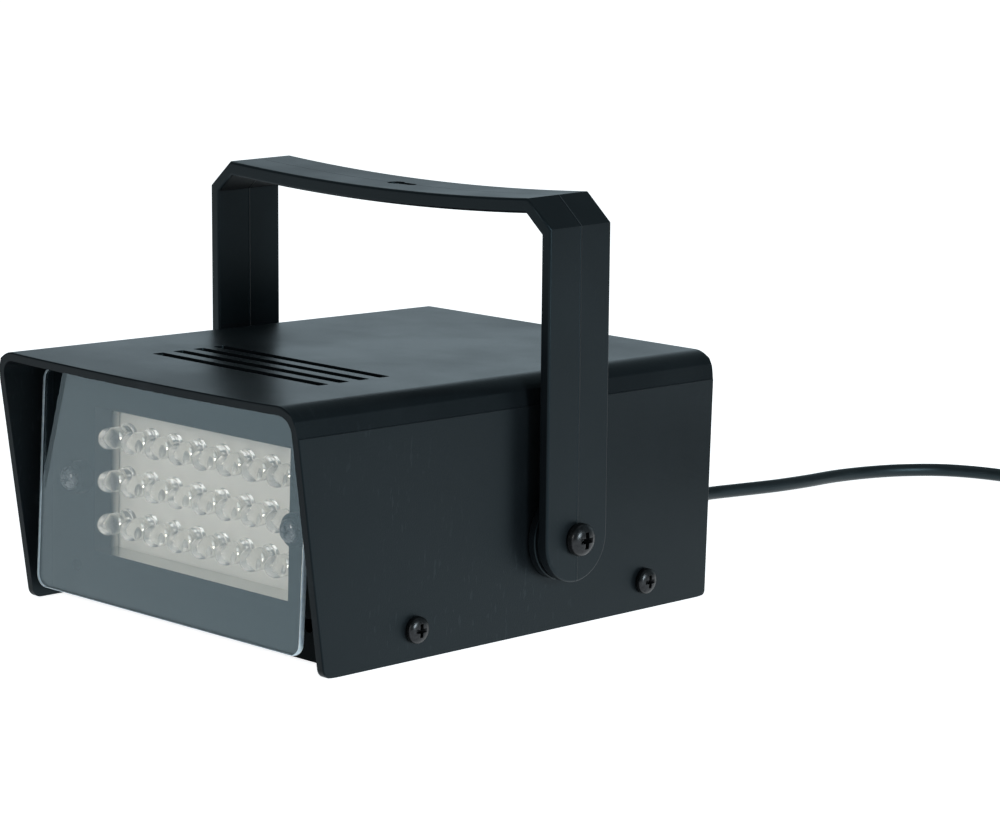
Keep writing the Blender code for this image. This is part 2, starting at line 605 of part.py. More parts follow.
def make_leds():
    """One board and its rows of 5 mm lamps on short leads."""
    half_w = WINDOW_WIDTH / 2 + SLEEVE_WALL + LED_BOARD_MARGIN
    half_h = WINDOW_HEIGHT / 2 + SLEEVE_WALL + LED_BOARD_MARGIN
    board = box_mesh("led_board", (-half_w, 0, -half_h), (half_w, LED_BOARD_THICKNESS, half_h))
    add("led_board", board, BOARD_WHITE, at(0, LED_BOARD_Y, WINDOW_CENTRE_HEIGHT))
    dome = LED_HEIGHT - LED_RADIUS
    profile = [(x, z) for x, z in arc((0, dome), LED_RADIUS, 90, 0, 4)]
    profile[0] = (0, LED_HEIGHT)
    profile += [(LED_RADIUS, LED_FLANGE_HEIGHT), (LED_FLANGE_RADIUS, LED_FLANGE_HEIGHT)]
    profile += [(LED_FLANGE_RADIUS, 0), (0, 0)]
    for row in range(LED_ROWS):
        for column in range(LED_COLUMNS):
            name = "led_%d_%d" % (row + 1, column + 1)
            x = (column - (LED_COLUMNS - 1) / 2) * LED_PITCH_X
            z = WINDOW_CENTRE_HEIGHT - (row - (LED_ROWS - 1) / 2) * LED_PITCH_Z
            place = at(x, LED_BOARD_Y - LED_STANDOFF, z)
            lamp = turned(name, profile, LED_RESIN, place, TOWARD_FRONT, 12)
            for side, sign in SIDES:
                lead = box_mesh(
                    "%s_lead_%s" % (name, side),
                    (sign * LED_LEAD_PITCH / 2 - LED_LEAD_WIDTH / 2, -LED_LEAD_WIDTH / 2, GAP - LED_STANDOFF),
                    (sign * LED_LEAD_PITCH / 2 + LED_LEAD_WIDTH / 2, LED_LEAD_WIDTH / 2, LED_FLANGE_HEIGHT / 2))
                boolean(lamp, add(lead.name, lead, None, place, TOWARD_FRONT, CUTTERS), "UNION")


def make_tray():
    """The bottom of the case, with side flanges, screw bosses and posts for the driver board."""
    front = BEZEL_FRONT_Y + BEZEL_THICKNESS + GAP
    rear = REAR_FRONT_Y - GAP
    floor = box_mesh("base_tray", (-CHASSIS_X, front, CHASSIS_CLEARANCE), (CHASSIS_X, rear, TRAY_TOP))
    tray = add("base_tray", floor, BLACK_PLASTIC, at(0, 0, 0))
    for side, sign in SIDES:
        inner = sign * (CHASSIS_X - TRAY_THICKNESS)
        xs = sorted((inner, sign * CHASSIS_X))
        flange = box_mesh("flange_" + side, (xs[0], front, TRAY_TOP - TRAY_THICKNESS / 2),
                          (xs[1], rear, CHASSIS_CLEARANCE + TRAY_FLANGE_HEIGHT))
        boolean(tray, add(flange.name, flange, None, at(0, 0, 0), None, CUTTERS), "UNION")
        for index, y in enumerate(SCREW_YS):
            low = TRAY_TOP - TRAY_THICKNESS / 2
            outline = [(-TRAY_BOSS_RADIUS, low), (TRAY_BOSS_RADIUS, low)]
            outline += arc((0, COVER_SCREW_HEIGHT), TRAY_BOSS_RADIUS, 0, 180, 8)
            boss = slab_mesh("tray_boss_%s_%d" % (side, index + 1), outline, TRAY_BOSS_LENGTH, FACING_SIDE)
            x = sign * (CHASSIS_X - TRAY_THICKNESS / 2 - TRAY_BOSS_LENGTH / 2)
            boolean(tray, add(boss.name, boss, None, at(x, y, 0), None, CUTTERS), "UNION")
    for x in (-1, 1):
        for y in (-1, 1):
            post = rod_mesh("post_%d_%d" % (x, y), POST_RADIUS, -TRAY_THICKNESS / 2, POST_HEIGHT, "Z", 14)
            place = at(x * (DRIVER_WIDTH / 2 - POST_INSET), DRIVER_Y + y * (DRIVER_DEPTH / 2 - POST_INSET), TRAY_TOP)
            boolean(tray, add(post.name, post, None, place, None, CUTTERS), "UNION")
    reach = HOOD_WIDTH / 2
    for index, y in enumerate(SCREW_YS):
        drill = rod_mesh("boss_drill_%d" % (index + 1), COVER_SHANK_RADIUS + GAP, -reach, reach, "X", 14)
        boolean(tray, add(drill.name, drill, None, at(0, y, COVER_SCREW_HEIGHT), None, CUTTERS))
    smooth(tray)


def make_rear_panel():
    """The rear panel, drilled for the speed control and the strain relief."""
    top_radius = HOOD_EDGE_RADIUS - HOOD_WALL + GAP
    outline = rounded_outline(
        -CHASSIS_X, CHASSIS_X, CHASSIS_CLEARANCE, UNDER_TOP - GAP, top_radius, 5, foot_radius=0)
    plate = slab_mesh("rear_panel", outline, REAR_THICKNESS, FACING_FRONT)
    panel = add("rear_panel", plate, BLACK_PLASTIC, at(0, REAR_BACK_Y - REAR_THICKNESS / 2, 0))
    holes = (("pot_hole", POT_BUSH_RADIUS + GAP, KNOB_X, KNOB_HEIGHT),
             ("cord_hole", RELIEF_RADIUS + GAP, CORD_EXIT_X, CORD_EXIT_HEIGHT))
    for name, radius, x, z in holes:
        drill = rod_mesh(name, radius, -2 * REAR_THICKNESS, REAR_THICKNESS, "Y", 20)
        boolean(panel, add(name, drill, None, at(x, REAR_BACK_Y, z), None, CUTTERS))
    smooth(panel)


def make_speed_control():
    """The control behind the rear panel and the fluted knob on its shaft."""
    bush_end = -GAP
    profile = [(0, POT_SHAFT_LENGTH), (POT_SHAFT_RADIUS, POT_SHAFT_LENGTH), (POT_SHAFT_RADIUS, bush_end)]
    profile += [(POT_BUSH_RADIUS, bush_end), (POT_BUSH_RADIUS, -REAR_THICKNESS - GAP)]
    profile += [(POT_RADIUS, -REAR_THICKNESS - GAP), (POT_RADIUS, -REAR_THICKNESS - GAP - POT_DEPTH)]
    profile += [(0, -REAR_THICKNESS - GAP - POT_DEPTH)]
    turned("potentiometer", profile, BRIGHT_STEEL, at(KNOB_X, REAR_BACK_Y, KNOB_HEIGHT), TOWARD_REAR, 18)
    bore = POT_SHAFT_RADIUS + GAP
    crown = KNOB_CROWN_RADIUS
    skirt = KNOB_SKIRT - GAP
    profile = [(0, KNOB_LENGTH), (crown - KNOB_EDGE, KNOB_LENGTH), (crown, KNOB_LENGTH - KNOB_EDGE)]
    profile += [(crown + GAP, KNOB_SKIRT), (KNOB_RADIUS, skirt), (KNOB_RADIUS, 0), (bore, 0)]
    profile += [(bore, POT_SHAFT_LENGTH), (0, POT_SHAFT_LENGTH)]
    knob = turned("speed_knob", profile, KNOB_PLASTIC, at(KNOB_X, REAR_BACK_Y + GAP, KNOB_HEIGHT), TOWARD_REAR, 24)
    for index in range(KNOB_FLUTES):
        angle = 2 * math.pi * (index + 0.5) / KNOB_FLUTES
        flute = rod_mesh("flute_%d" % (index + 1), FLUTE_RADIUS, KNOB_SKIRT + GAP, 2 * KNOB_LENGTH, "Z", 8)
        shift_mesh(flute, (math.cos(angle) * (crown + GAP), math.sin(angle) * (crown + GAP), 0))
        boolean(knob, add(flute.name, flute, None, knob.location, TOWARD_REAR, CUTTERS))
    mark = box_mesh("pointer", (-POINTER_WIDTH / 2, KNOB_SKIRT, KNOB_LENGTH - POINTER_DEPTH),
                    (POINTER_WIDTH / 2, KNOB_RADIUS, 2 * KNOB_LENGTH))
    boolean(knob, add("pointer", mark, None, knob.location, TOWARD_REAR, CUTTERS))


def make_driver():
    """The board that flashes the lamps, on four posts, and its storage capacitor."""
    low = TRAY_TOP + POST_HEIGHT + GAP
    board = box_mesh("driver_board", (-DRIVER_WIDTH / 2, -DRIVER_DEPTH / 2, low),
                     (DRIVER_WIDTH / 2, DRIVER_DEPTH / 2, low + DRIVER_THICKNESS))
    add("driver_board", board, BOARD_GREEN, at(0, DRIVER_Y, 0))
    rim = CAPACITOR_RIM
    profile = [(0, CAPACITOR_LENGTH), (CAPACITOR_RADIUS - rim, CAPACITOR_LENGTH)]
    profile += [(CAPACITOR_RADIUS, CAPACITOR_LENGTH - rim), (CAPACITOR_RADIUS, rim)]
    profile += [(CAPACITOR_RADIUS - rim, 0), (0, 0)]
    turned("capacitor", profile, SLEEVE_BLUE, at(-DRIVER_WIDTH / 5, DRIVER_Y, BOARD_TOP + GAP), None, 18)


def yoke_outline():
    """The band seen from the front, right half first: leg, corner, sagging bar, and back along the inside."""
    outer_x = YOKE_OUTER_WIDTH / 2
    foot = -YOKE_LEG_WIDTH / 2
    corner = YOKE_HEIGHT - YOKE_CHAMFER_Z
    inner_top = YOKE_HEIGHT - YOKE_BAR_BAND
    inner_corner_x = outer_x - YOKE_CHAMFER_X - YOKE_BAND * YOKE_CORNER_EASE
    inner_corner = inner_top - (YOKE_INNER_X - inner_corner_x) * YOKE_CHAMFER_Z / YOKE_CHAMFER_X
    bar_x = outer_x - YOKE_CHAMFER_X

    def sag(x, reach):
        """How far the bar hangs at x."""
        return YOKE_SAG * (1 - (x / reach) ** 2)

    top = []
    for step in range(YOKE_BAR_FACETS + 1):
        x = bar_x - 2 * bar_x * step / YOKE_BAR_FACETS
        top.append((x, YOKE_HEIGHT - sag(x, bar_x)))
    under = []
    for step in range(YOKE_BAR_FACETS + 1):
        x = -inner_corner_x + 2 * inner_corner_x * step / YOKE_BAR_FACETS
        under.append((x, inner_top - sag(x, inner_corner_x)))
    points = [(outer_x, foot), (outer_x, corner)] + top + [(-outer_x, corner), (-outer_x, foot)]
    points += [(-YOKE_INNER_X, foot), (-YOKE_INNER_X, inner_corner)] + under
    points += [(YOKE_INNER_X, inner_corner), (YOKE_INNER_X, foot)]
    return points


def make_yoke():
    """The swivelling yoke: flat band, chamfered corners, round feet, keyhole. Its origin is on the pivot axis."""
    mesh = slab_mesh("yoke", yoke_outline(), YOKE_LEG_WIDTH, FACING_FRONT)
    pivot = at(0, PIVOT_Y, PIVOT_HEIGHT)
    lean = (YOKE_LEAN, 0, 0)
    yoke = add("yoke", mesh, YOKE_PLASTIC, pivot, lean)
    radius = YOKE_LEG_WIDTH / 2
    side = [(radius, 2 * YOKE_HEIGHT), (-radius, 2 * YOKE_HEIGHT)] + arc((0, 0), radius, 180, 360, 16)
    feet = slab_mesh("yoke_feet", side, 2 * YOKE_OUTER_WIDTH, FACING_SIDE)
    boolean(yoke, add("yoke_feet", feet, None, pivot, lean, CUTTERS), "INTERSECT")
    bevel(yoke, YOKE_EDGE_ROUND, 2, 55).use_clamp_overlap = True
    drill = rod_mesh("yoke_drill", PIVOT_SHANK_RADIUS + PIVOT_CLEARANCE, -YOKE_OUTER_WIDTH, YOKE_OUTER_WIDTH, "X", 18)
    boolean(yoke, add("yoke_drill", drill, None, pivot, lean, CUTTERS))
    reach = KEYHOLE_LENGTH / 2
    head = rod_mesh("keyhole", KEYHOLE_RADIUS, YOKE_HEIGHT / 2, 2 * YOKE_HEIGHT, "Z", 16)
    shift_mesh(head, (KEYHOLE_RADIUS - reach, 0, 0))
    boolean(yoke, add("keyhole", head, None, pivot, lean, CUTTERS))
    slot = box_mesh("keyhole_slot", (KEYHOLE_RADIUS - reach, -KEYHOLE_SLOT_WIDTH / 2, YOKE_HEIGHT / 2),
                    (reach, KEYHOLE_SLOT_WIDTH / 2, 2 * YOKE_HEIGHT))
    boolean(yoke, add("keyhole_slot", slot, None, pivot, lean, CUTTERS))
    smooth(yoke)


def make_pivots():
    """On each side: a stepped spacer against the hood, the screw through the leg, and a nut inside."""
    bore = PIVOT_SHANK_RADIUS + PIVOT_CLEARANCE
    space = YOKE_INNER_X - HOOD_WIDTH / 2 - 2 * GAP
    for side, sign in SIDES:
        profile = [(bore, space), (SPACER_BOSS_RADIUS, space), (SPACER_BOSS_RADIUS, SPACER_FLANGE)]
        profile += [(SPACER_RADIUS, SPACER_FLANGE), (SPACER_RADIUS, 0), (bore, 0), (bore, space)]
        place = at(sign * (HOOD_WIDTH / 2 + GAP), PIVOT_Y, PIVOT_HEIGHT)
        turned("yoke_spacer_" + side, profile, BLACK_PLASTIC, place, TOWARD[sign], 28)
        seat = sign * (YOKE_OUTER_WIDTH / 2 + GAP)
        length = YOKE_OUTER_WIDTH / 2 + 2 * GAP - INNER_X + NUT_THICKNESS + GAP
        make_screw("yoke_screw_" + side, PIVOT_HEAD_RADIUS, PIVOT_HEAD_HEIGHT, PIVOT_SHANK_RADIUS,
                   length, BLACK_STEEL, at(seat, PIVOT_Y, PIVOT_HEIGHT), TOWARD[sign])
        nut = rod_mesh("yoke_nut_" + side, NUT_RADIUS, -NUT_THICKNESS, 0, "Z", 6)
        place = at(sign * (INNER_X - GAP), PIVOT_Y, PIVOT_HEIGHT)
        made = add("yoke_nut_" + side, nut, BRIGHT_STEEL, place, TOWARD[sign])
        hole = rod_mesh("nut_bore_" + side, bore, -2 * NUT_THICKNESS, NUT_THICKNESS, "Z", 14)
        boolean(made, add(hole.name, hole, None, place, TOWARD[sign], CUTTERS))


def make_relief():
    """The strain relief: a collar in the panel, a flange and a ribbed taper that narrows to the cord."""
    end = RELIEF_LENGTH
    profile = [(0, end), (RELIEF_TIP_RADIUS, end)]
    rib = (end - RELIEF_FLANGE) / (RELIEF_RIBS + 1)
    for index in range(RELIEF_RIBS):
        high = end - rib * (index + RIB_START_SHARE)
        low = high - rib * GROOVE_SHARE
        share = (end - high) / (end - RELIEF_FLANGE)
        radius = RELIEF_TIP_RADIUS + (RELIEF_RADIUS - RELIEF_TIP_RADIUS) * share
        groove = max(radius - RELIEF_GROOVE, CORD_RADIUS)
        profile += [(radius, high), (groove, high), (groove, low), (radius, low)]
    profile += [(RELIEF_RADIUS, RELIEF_FLANGE), (RELIEF_FLANGE_RADIUS, RELIEF_FLANGE * FLANGE_EDGE_SHARE)]
    profile += [(RELIEF_FLANGE_RADIUS, GAP), (RELIEF_RADIUS, GAP), (RELIEF_RADIUS, -REAR_THICKNESS - GAP)]
    profile += [(0, -REAR_THICKNESS - GAP)]
    place = at(CORD_EXIT_X, REAR_BACK_Y, CORD_EXIT_HEIGHT)
    turned("strain_relief", profile, CORD_VINYL, place, TOWARD_REAR, 14)


def coil_points():
    """The coil's own line: in along the floor, up a layer where it turns back, and out again on top."""
    steps = round((2 * COIL_SIDE_TURNS + 0.5) * COIL_LOOP_POINTS)
    points = []
    for step in range(steps + 1):
        turns = step / COIL_LOOP_POINTS
        angle = math.pi / 2 - 2 * math.pi * turns
        climb = min(1.0, max(0.0, (turns - COIL_SIDE_TURNS) / 0.5))
        ease = climb * climb * (3 - 2 * climb)
        if turns <= COIL_SIDE_TURNS:
            inward = turns
        elif turns >= COIL_SIDE_TURNS + 0.5:
            inward = 2 * COIL_SIDE_TURNS + 0.5 - turns
        else:
            inward = COIL_SIDE_TURNS + 0.25 * climb * (1 - climb)
        radius = COIL_OUTER_RADIUS - COIL_PITCH * inward
        points.append(Vector((COIL_CENTRE_X + radius * math.cos(angle), COIL_CENTRE_Y + radius * math.sin(angle),
                              CORD_REST + COIL_LAYER * ease)))
    return points


def least_gap(points, radius, skip):
    """The least clear distance between turns of one tube, on its own points."""
    fine = [a.lerp(b, share / 4) for a, b in zip(points, points[1:]) for share in range(4)]
    least = min((fine[i] - fine[j]).length for i in range(len(fine)) for j in range(i + skip, len(fine)))
    return least - 2 * radius


def make_cord():
    """The cord: a free run, the coil of what is left over, a short tail and the plug."""
    first = [Vector((CORD_EXIT_X, CORD_START_Y, CORD_EXIT_HEIGHT))]
    first.append(first[0] + Vector((0, CORD_LEAD, 0)))
    route = first + [Vector(point) * MM for point in RUN_ROUTE]
    last = COIL_ENTRY - Vector((GAP, 0, 0))
    route += [last - Vector((CORD_LEAD, 0, 0)), last]
    points, run_length = smooth_curve(route, RUN_SPACING)
    tube("cord_run", [at(*point) for point in points], CORD_RADIUS, CORD_VINYL)
    turns = coil_points()
    whole = [COIL_ENTRY] + turns + [COIL_EXIT]
    coil_length = sum((b - a).length for a, b in zip(whole, whole[1:]))
    tube("cord_coil", [at(*point) for point in whole], CORD_RADIUS, CORD_VINYL, 1)
    print("least gap between the coil's turns, mm:", round(least_gap(whole, CORD_RADIUS, 60) / MM, 2))
    start = COIL_EXIT + Vector((GAP, 0, 0))
    route = [start, start + Vector((CORD_LEAD, 0, 0))] + [Vector(point) * MM for point in TAIL_ROUTE]
    route += [PLUG_ENTRY + Vector((0, GAP + CORD_LEAD, 0)), PLUG_ENTRY + Vector((0, GAP, 0))]
    points, tail_length = smooth_curve(route, TAIL_SPACING)
    tube("cord_tail", [at(*point) for point in points], CORD_RADIUS, CORD_VINYL)
    print("cord length, m:", round(run_length + coil_length + tail_length, 3))


def make_plug():
    """A flat two-pin plug lying on the floor, its neck toward the cord."""
    half = PLUG_WIDTH / 2
    neck = PLUG_NECK / 2
    face = -PLUG_LENGTH
    shoulder = -PLUG_SHOULDER
    waist = PLUG_WAIST_WIDTH / 2
    outline = [(neck, 0), (-neck, 0), (-waist, shoulder * PLUG_WAIST_SHARE), (-half, shoulder), (-half, face)]
    outline += [(half, face), (half, shoulder), (waist, shoulder * PLUG_WAIST_SHARE)]
    body = slab_mesh("plug", outline, PLUG_THICKNESS, None)
    plug = add("plug", body, CORD_VINYL, at(*PLUG_ENTRY))
    bevel(plug, PLUG_ROUND, 3, 30)
    smooth(plug)
    for side, sign in SIDES:
        profile = [(0, PIN_LENGTH), (PIN_RADIUS - PIN_TIP, PIN_LENGTH), (PIN_RADIUS, PIN_LENGTH - PIN_TIP)]
        profile += [(PIN_RADIUS, 0), (0, 0)]
        place = at(*(PLUG_ENTRY + Vector((sign * PIN_SPACING / 2, face - GAP, 0))))
        turned("plug_pin_" + side, profile, BRIGHT_STEEL, place, TOWARD_FRONT, 14)


make_hood()
make_bezel()
make_pane()
make_screws()
make_leds()
make_tray()
make_rear_panel()
make_speed_control()
make_driver()
make_yoke()
make_pivots()
make_relief()
make_cord()
make_plug()
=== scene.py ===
"""A small strobe light in its moulded black case, dressed for its picture.

Lengths are in metres, written as millimetres times MM. The lamps face -Y, the yoke stands up along +Z.
"""

import json
import math

import bmesh
import bpy
from mathutils import Matrix, Vector


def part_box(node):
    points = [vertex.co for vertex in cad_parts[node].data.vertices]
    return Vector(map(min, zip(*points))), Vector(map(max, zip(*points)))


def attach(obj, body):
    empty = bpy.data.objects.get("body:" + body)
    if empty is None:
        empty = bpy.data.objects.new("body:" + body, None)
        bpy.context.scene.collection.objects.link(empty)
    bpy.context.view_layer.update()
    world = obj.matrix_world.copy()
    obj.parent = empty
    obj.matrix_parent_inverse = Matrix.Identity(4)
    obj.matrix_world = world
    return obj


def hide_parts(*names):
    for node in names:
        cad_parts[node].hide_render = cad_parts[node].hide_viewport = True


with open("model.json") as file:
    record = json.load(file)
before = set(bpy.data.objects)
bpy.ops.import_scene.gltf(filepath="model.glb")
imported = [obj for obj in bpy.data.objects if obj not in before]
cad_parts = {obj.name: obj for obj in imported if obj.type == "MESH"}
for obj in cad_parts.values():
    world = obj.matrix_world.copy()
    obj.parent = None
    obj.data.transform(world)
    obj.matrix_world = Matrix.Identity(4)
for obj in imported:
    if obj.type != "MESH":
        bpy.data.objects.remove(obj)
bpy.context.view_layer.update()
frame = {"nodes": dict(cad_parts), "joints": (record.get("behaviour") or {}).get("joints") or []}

MM = 0.001

# The picture: a long lens a little above the light and off its front right corner, in a white room with a
# white floor that runs on behind. A wide lamp overhead gives the soft light on the top of the case, and two
# small ones give its side and its front their sheen.
camera_place = Vector((513.381, -502.065, 167.351)) * MM
camera_turn, camera_fall, camera_roll = (math.radians(v) for v in (43.321, 9.63, 1.705))
bpy.ops.object.camera_add()
camera = bpy.context.object
camera.name = "camera"
camera.data.lens = 112.5
camera.data.sensor_width = 36.0
camera.data.clip_end = 60.0
camera.matrix_world = (
    Matrix.Translation(camera_place) @ Matrix.Rotation(camera_turn, 4, "Z")
    @ Matrix.Rotation(math.pi / 2 - camera_fall, 4, "X") @ Matrix.Rotation(camera_roll, 4, "Z"))
bpy.context.scene.camera = camera
bpy.context.scene.view_settings.view_transform = "Standard"


def put(tree, kind, inputs=None, **settings):
    """Adds a node, sets its properties, and gives its inputs numbers or another node's output."""
    made = tree.nodes.new(kind)
    for key, value in settings.items():
        setattr(made, key, value)
    for key, value in (inputs or {}).items():
        if isinstance(value, bpy.types.NodeSocket):
            tree.links.new(value, made.inputs[key])
        else:
            made.inputs[key].default_value = value
    return made


def new_finish(name, **sockets):
    """A material with the shader's plain sockets set, returned with its node tree and shader."""
    made = bpy.data.materials.new(name)
    made.use_nodes = True
    shader = made.node_tree.nodes["Principled BSDF"]
    for key, value in sockets.items():
        shader.inputs[key.replace("_", " ")].default_value = value
    return made, made.node_tree, shader


def mixed(tree, factor, first, second):
    """A colour between two others."""
    blend = put(tree, "ShaderNodeMix", {0: factor, 6: first, 7: second}, data_type="RGBA")
    return blend.outputs[2]


def ramp(tree, value, first, last, start=0.0, end=1.0):
    """Runs from the first number to the last while a value runs from the start to the end."""
    return put(tree, "ShaderNodeMapRange", {
        "Value": value, "From Min": start, "From Max": end, "To Min": first, "To Max": last}).outputs[0]


def worked(tree, operation, *values):
    """The result of a sum on numbers or on other nodes' outputs."""
    return put(tree, "ShaderNodeMath", dict(enumerate(values)), operation=operation).outputs[0]


def noise(tree, scale, detail, rough=0.5, spot=None):
    """Noise on the piece's own coordinates, or on others that are given."""
    if spot is None:
        spot = put(tree, "ShaderNodeTexCoord").outputs["Object"]
    return put(tree, "ShaderNodeTexNoise", {
        "Vector": spot, "Scale": scale, "Detail": detail, "Roughness": rough}).outputs[0]


def feed(tree, shader, **outputs):
    """Links other nodes' outputs to the shader's sockets."""
    for key, output in outputs.items():
        tree.links.new(output, shader.inputs[key.replace("_", " ")])


world = bpy.data.worlds.new("white_room")
bpy.context.scene.world = world
world.use_nodes = True
air = world.node_tree
facing = put(air, "ShaderNodeTexCoord").outputs["Generated"]
toward = put(air, "ShaderNodeVectorMath", {0: facing, 1: (-0.5, 0.86, 0.1)}, operation="DOT_PRODUCT").outputs["Value"]
rise = put(air, "ShaderNodeSeparateXYZ", {0: facing}).outputs["Z"]
band = worked(air, "MULTIPLY", ramp(air, rise, 0.64, 1.03, 0.12, 0.3), ramp(air, rise, 1.0, 0.0, 0.24, 0.55))
glow = worked(air, "MULTIPLY", ramp(air, toward, 0.0, 1.0, 0.7, 0.92), band)
room = mixed(air, glow, (0.15, 0.195, 0.21, 1), (0.77, 0.95, 1.05, 1))
lens_sees = put(air, "ShaderNodeLightPath").outputs["Is Camera Ray"]
air.links.new(mixed(air, lens_sees, room, (1, 1, 1, 1)), air.nodes["Background"].inputs["Color"])

for name, place, aim, size, energy, tint in (
        ("overhead_light", (-0.4, 0.3, 2.2), (0, 0, 0), 1.6, 4.0, (1, 1, 1)),
        ("side_light", (1.5, 0.0, 0.42), (0.05, 0, 0.04), 0.4, 15.0, (0.86, 0.97, 1.0)),
        ("front_light", (0.05, -1.15, 0.42), (0, -0.05, 0.03), 0.35, 2.45, (1.0, 0.965, 0.92))):
    place = Vector(place)
    turn = (place - Vector(aim)).to_track_quat("Z", "Y").to_euler()
    bpy.ops.object.light_add(type="AREA", location=place, rotation=turn)
    lamp = bpy.context.object
    lamp.name = name
    lamp.data.shape = "DISK"
    lamp.data.size = size
    lamp.data.energy = energy
    lamp.data.color = tint

bpy.ops.mesh.primitive_circle_add(vertices=96, radius=14.0, fill_type="NGON", location=(0, 0, 0))
floor = bpy.context.object
floor.name = "floor"
white_floor, tree, shader = new_finish(
    "white_floor", Roughness=0.9, Specular_IOR_Level=0.1, Emission_Color=(0.98, 0.99, 1.0, 1.0), Emission_Strength=0.9)
feed(tree, shader, Base_Color=mixed(tree, noise(tree, 3.0, 2.0), (0.93, 0.94, 0.95, 1), (0.96, 0.965, 0.97, 1)))
# The floor shows the lens an even white, and to every other ray it is a painted glow, even near the case and fading
# beyond half a metre.
spot = put(tree, "ShaderNodeTexCoord").outputs["Object"]
reach = put(tree, "ShaderNodeVectorMath", {0: spot}, operation="LENGTH").outputs["Value"]
bright = worked(tree, "MULTIPLY", ramp(tree, reach, 1.0, 0.3, 0.45, 1.0), 1.25)
glow = put(tree, "ShaderNodeEmission", {"Color": (0.93, 0.98, 1.0, 1), "Strength": bright})
lens_sees = put(tree, "ShaderNodeLightPath").outputs["Is Camera Ray"]
shown = put(tree, "ShaderNodeMixShader", {0: lens_sees, 1: glow.outputs[0], 2: shader.outputs[0]})
tree.links.new(shown.outputs[0], tree.nodes["Material Output"].inputs["Surface"])
floor.data.materials.append(white_floor)

# The flex: black vinyl round two cores, 3.6 mm thick. It leaves the rear panel, drops to the floor and runs
# off to the right. What the picture doesn't show of it is wound in a flat coil, with the plug beside it.
hood_depth = 134.4 * MM
middle_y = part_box("hood")[1].y - hood_depth / 2
panel_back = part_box("rear_panel")[1].y
cord_radius = 1.8 * MM
cord_exit = Vector((-25.0 * MM, panel_back + 22.3 * MM, 14.0 * MM))
run_route = (
    (-25.0, 96.0, 13.4), (-25.2, 108.0, 9.6), (-25.6, 121.0, 4.9), (-25.6, 134.0, 2.3), (-25.1, 147.0, 1.9),
    (-24.3, 158.3, 1.9), (-22.0, 170.0, 1.9), (-19.7, 182.0, 1.9), (-18.6, 194.0, 1.9), (-18.1, 207.0, 1.9),
    (-15.3, 220.5, 1.9), (-10.8, 231.0, 1.9), (-3.6, 240.0, 1.9), (7.0, 245.4, 1.9), (20.0, 247.4, 1.9),
    (36.0, 247.6, 1.9), (54.0, 247.1, 1.9))
tail_route = (
    (98.0, 246.6, 6.3), (112.0, 243.5, 5.6), (125.0, 236.4, 4.6), (134.0, 225.6, 4.6), (138.0, 212.0, 5.8))
coil_centre = Vector((80.0 * MM, middle_y + 217.8 * MM, cord_radius + 0.1 * MM))
coil_radius = 29.2 * MM
coil_pitch = 4.45 * MM
coil_layer = 4.2 * MM
coil_side_turns = 3.25
loop_points = 48
plug_entry = Vector((138.6 * MM, middle_y + 196.0 * MM, 6.8 * MM))


def smooth_line(knots, spacing):
    """Points along one smooth line through a row of knots."""
    knots = [2 * knots[0] - knots[1]] + knots + [2 * knots[-1] - knots[-2]]
    line = []
    for p0, p1, p2, p3 in zip(knots, knots[1:], knots[2:], knots[3:]):
        steps = max(2, round((p2 - p1).length / spacing))
        for step in range(steps):
            t = step / steps
            line.append(0.5 * (2 * p1 + (p2 - p0) * t + (2 * p0 - 5 * p1 + 4 * p2 - p3) * t ** 2
                               + (3 * p1 - p0 - 3 * p2 + p3) * t ** 3))
    return line + [knots[-2]]


def on_light(point):
    """A route's point, in millimetres from the middle of the case, as a place."""
    return Vector((point[0] * MM, middle_y + point[1] * MM, point[2] * MM))


coil = []
for step in range(round((2 * coil_side_turns + 0.5) * loop_points) + 1):
    turns = step / loop_points
    climb = min(1.0, max(0.0, (turns - coil_side_turns) / 0.5))
    inward = min(turns, 2 * coil_side_turns + 0.5 - turns)
    if 0 < climb < 1:
        inward = coil_side_turns + 0.25 * climb * (1 - climb)
    angle = math.pi / 2 - 2 * math.pi * turns
    reach = coil_radius - coil_pitch * inward
    rise = coil_layer * climb * climb * (3 - 2 * climb)
    coil.append(coil_centre + Vector((reach * math.cos(angle), reach * math.sin(angle), rise)))
coil_entry = coil[0] - Vector((2.2 * cord_radius, 0, 0))
coil_exit = coil[-1] + Vector((2.2 * cord_radius, 0, 0))
ease = Vector((2 * cord_radius, 0, 0))
lead_in = Vector((0, 2 * cord_radius, 0))
cord_line = smooth_line(
    [cord_exit, cord_exit + lead_in] + [on_light(p) for p in run_route] + [coil_entry - ease, coil_entry], 3 * MM)
cord_line += coil
cord_line += smooth_line(
    [coil_exit, coil_exit + ease] + [on_light(p) for p in tail_route]
    + [plug_entry + lead_in, plug_entry + Vector((0, 0.3 * MM, 0))], 3 * MM)

cord_curve = bpy.data.curves.new("flex", "CURVE")
cord_curve.dimensions = "3D"
cord_curve.bevel_depth = cord_radius
cord_curve.bevel_resolution = 5
cord_curve.use_fill_caps = True
cord_spline = cord_curve.splines.new("POLY")
cord_spline.points.add(len(cord_line) - 1)
for spot, place in zip(cord_spline.points, cord_line):
    spot.co = (*place, 1.0)
flex = bpy.data.objects.new("flex", cord_curve)
bpy.context.scene.collection.objects.link(flex)

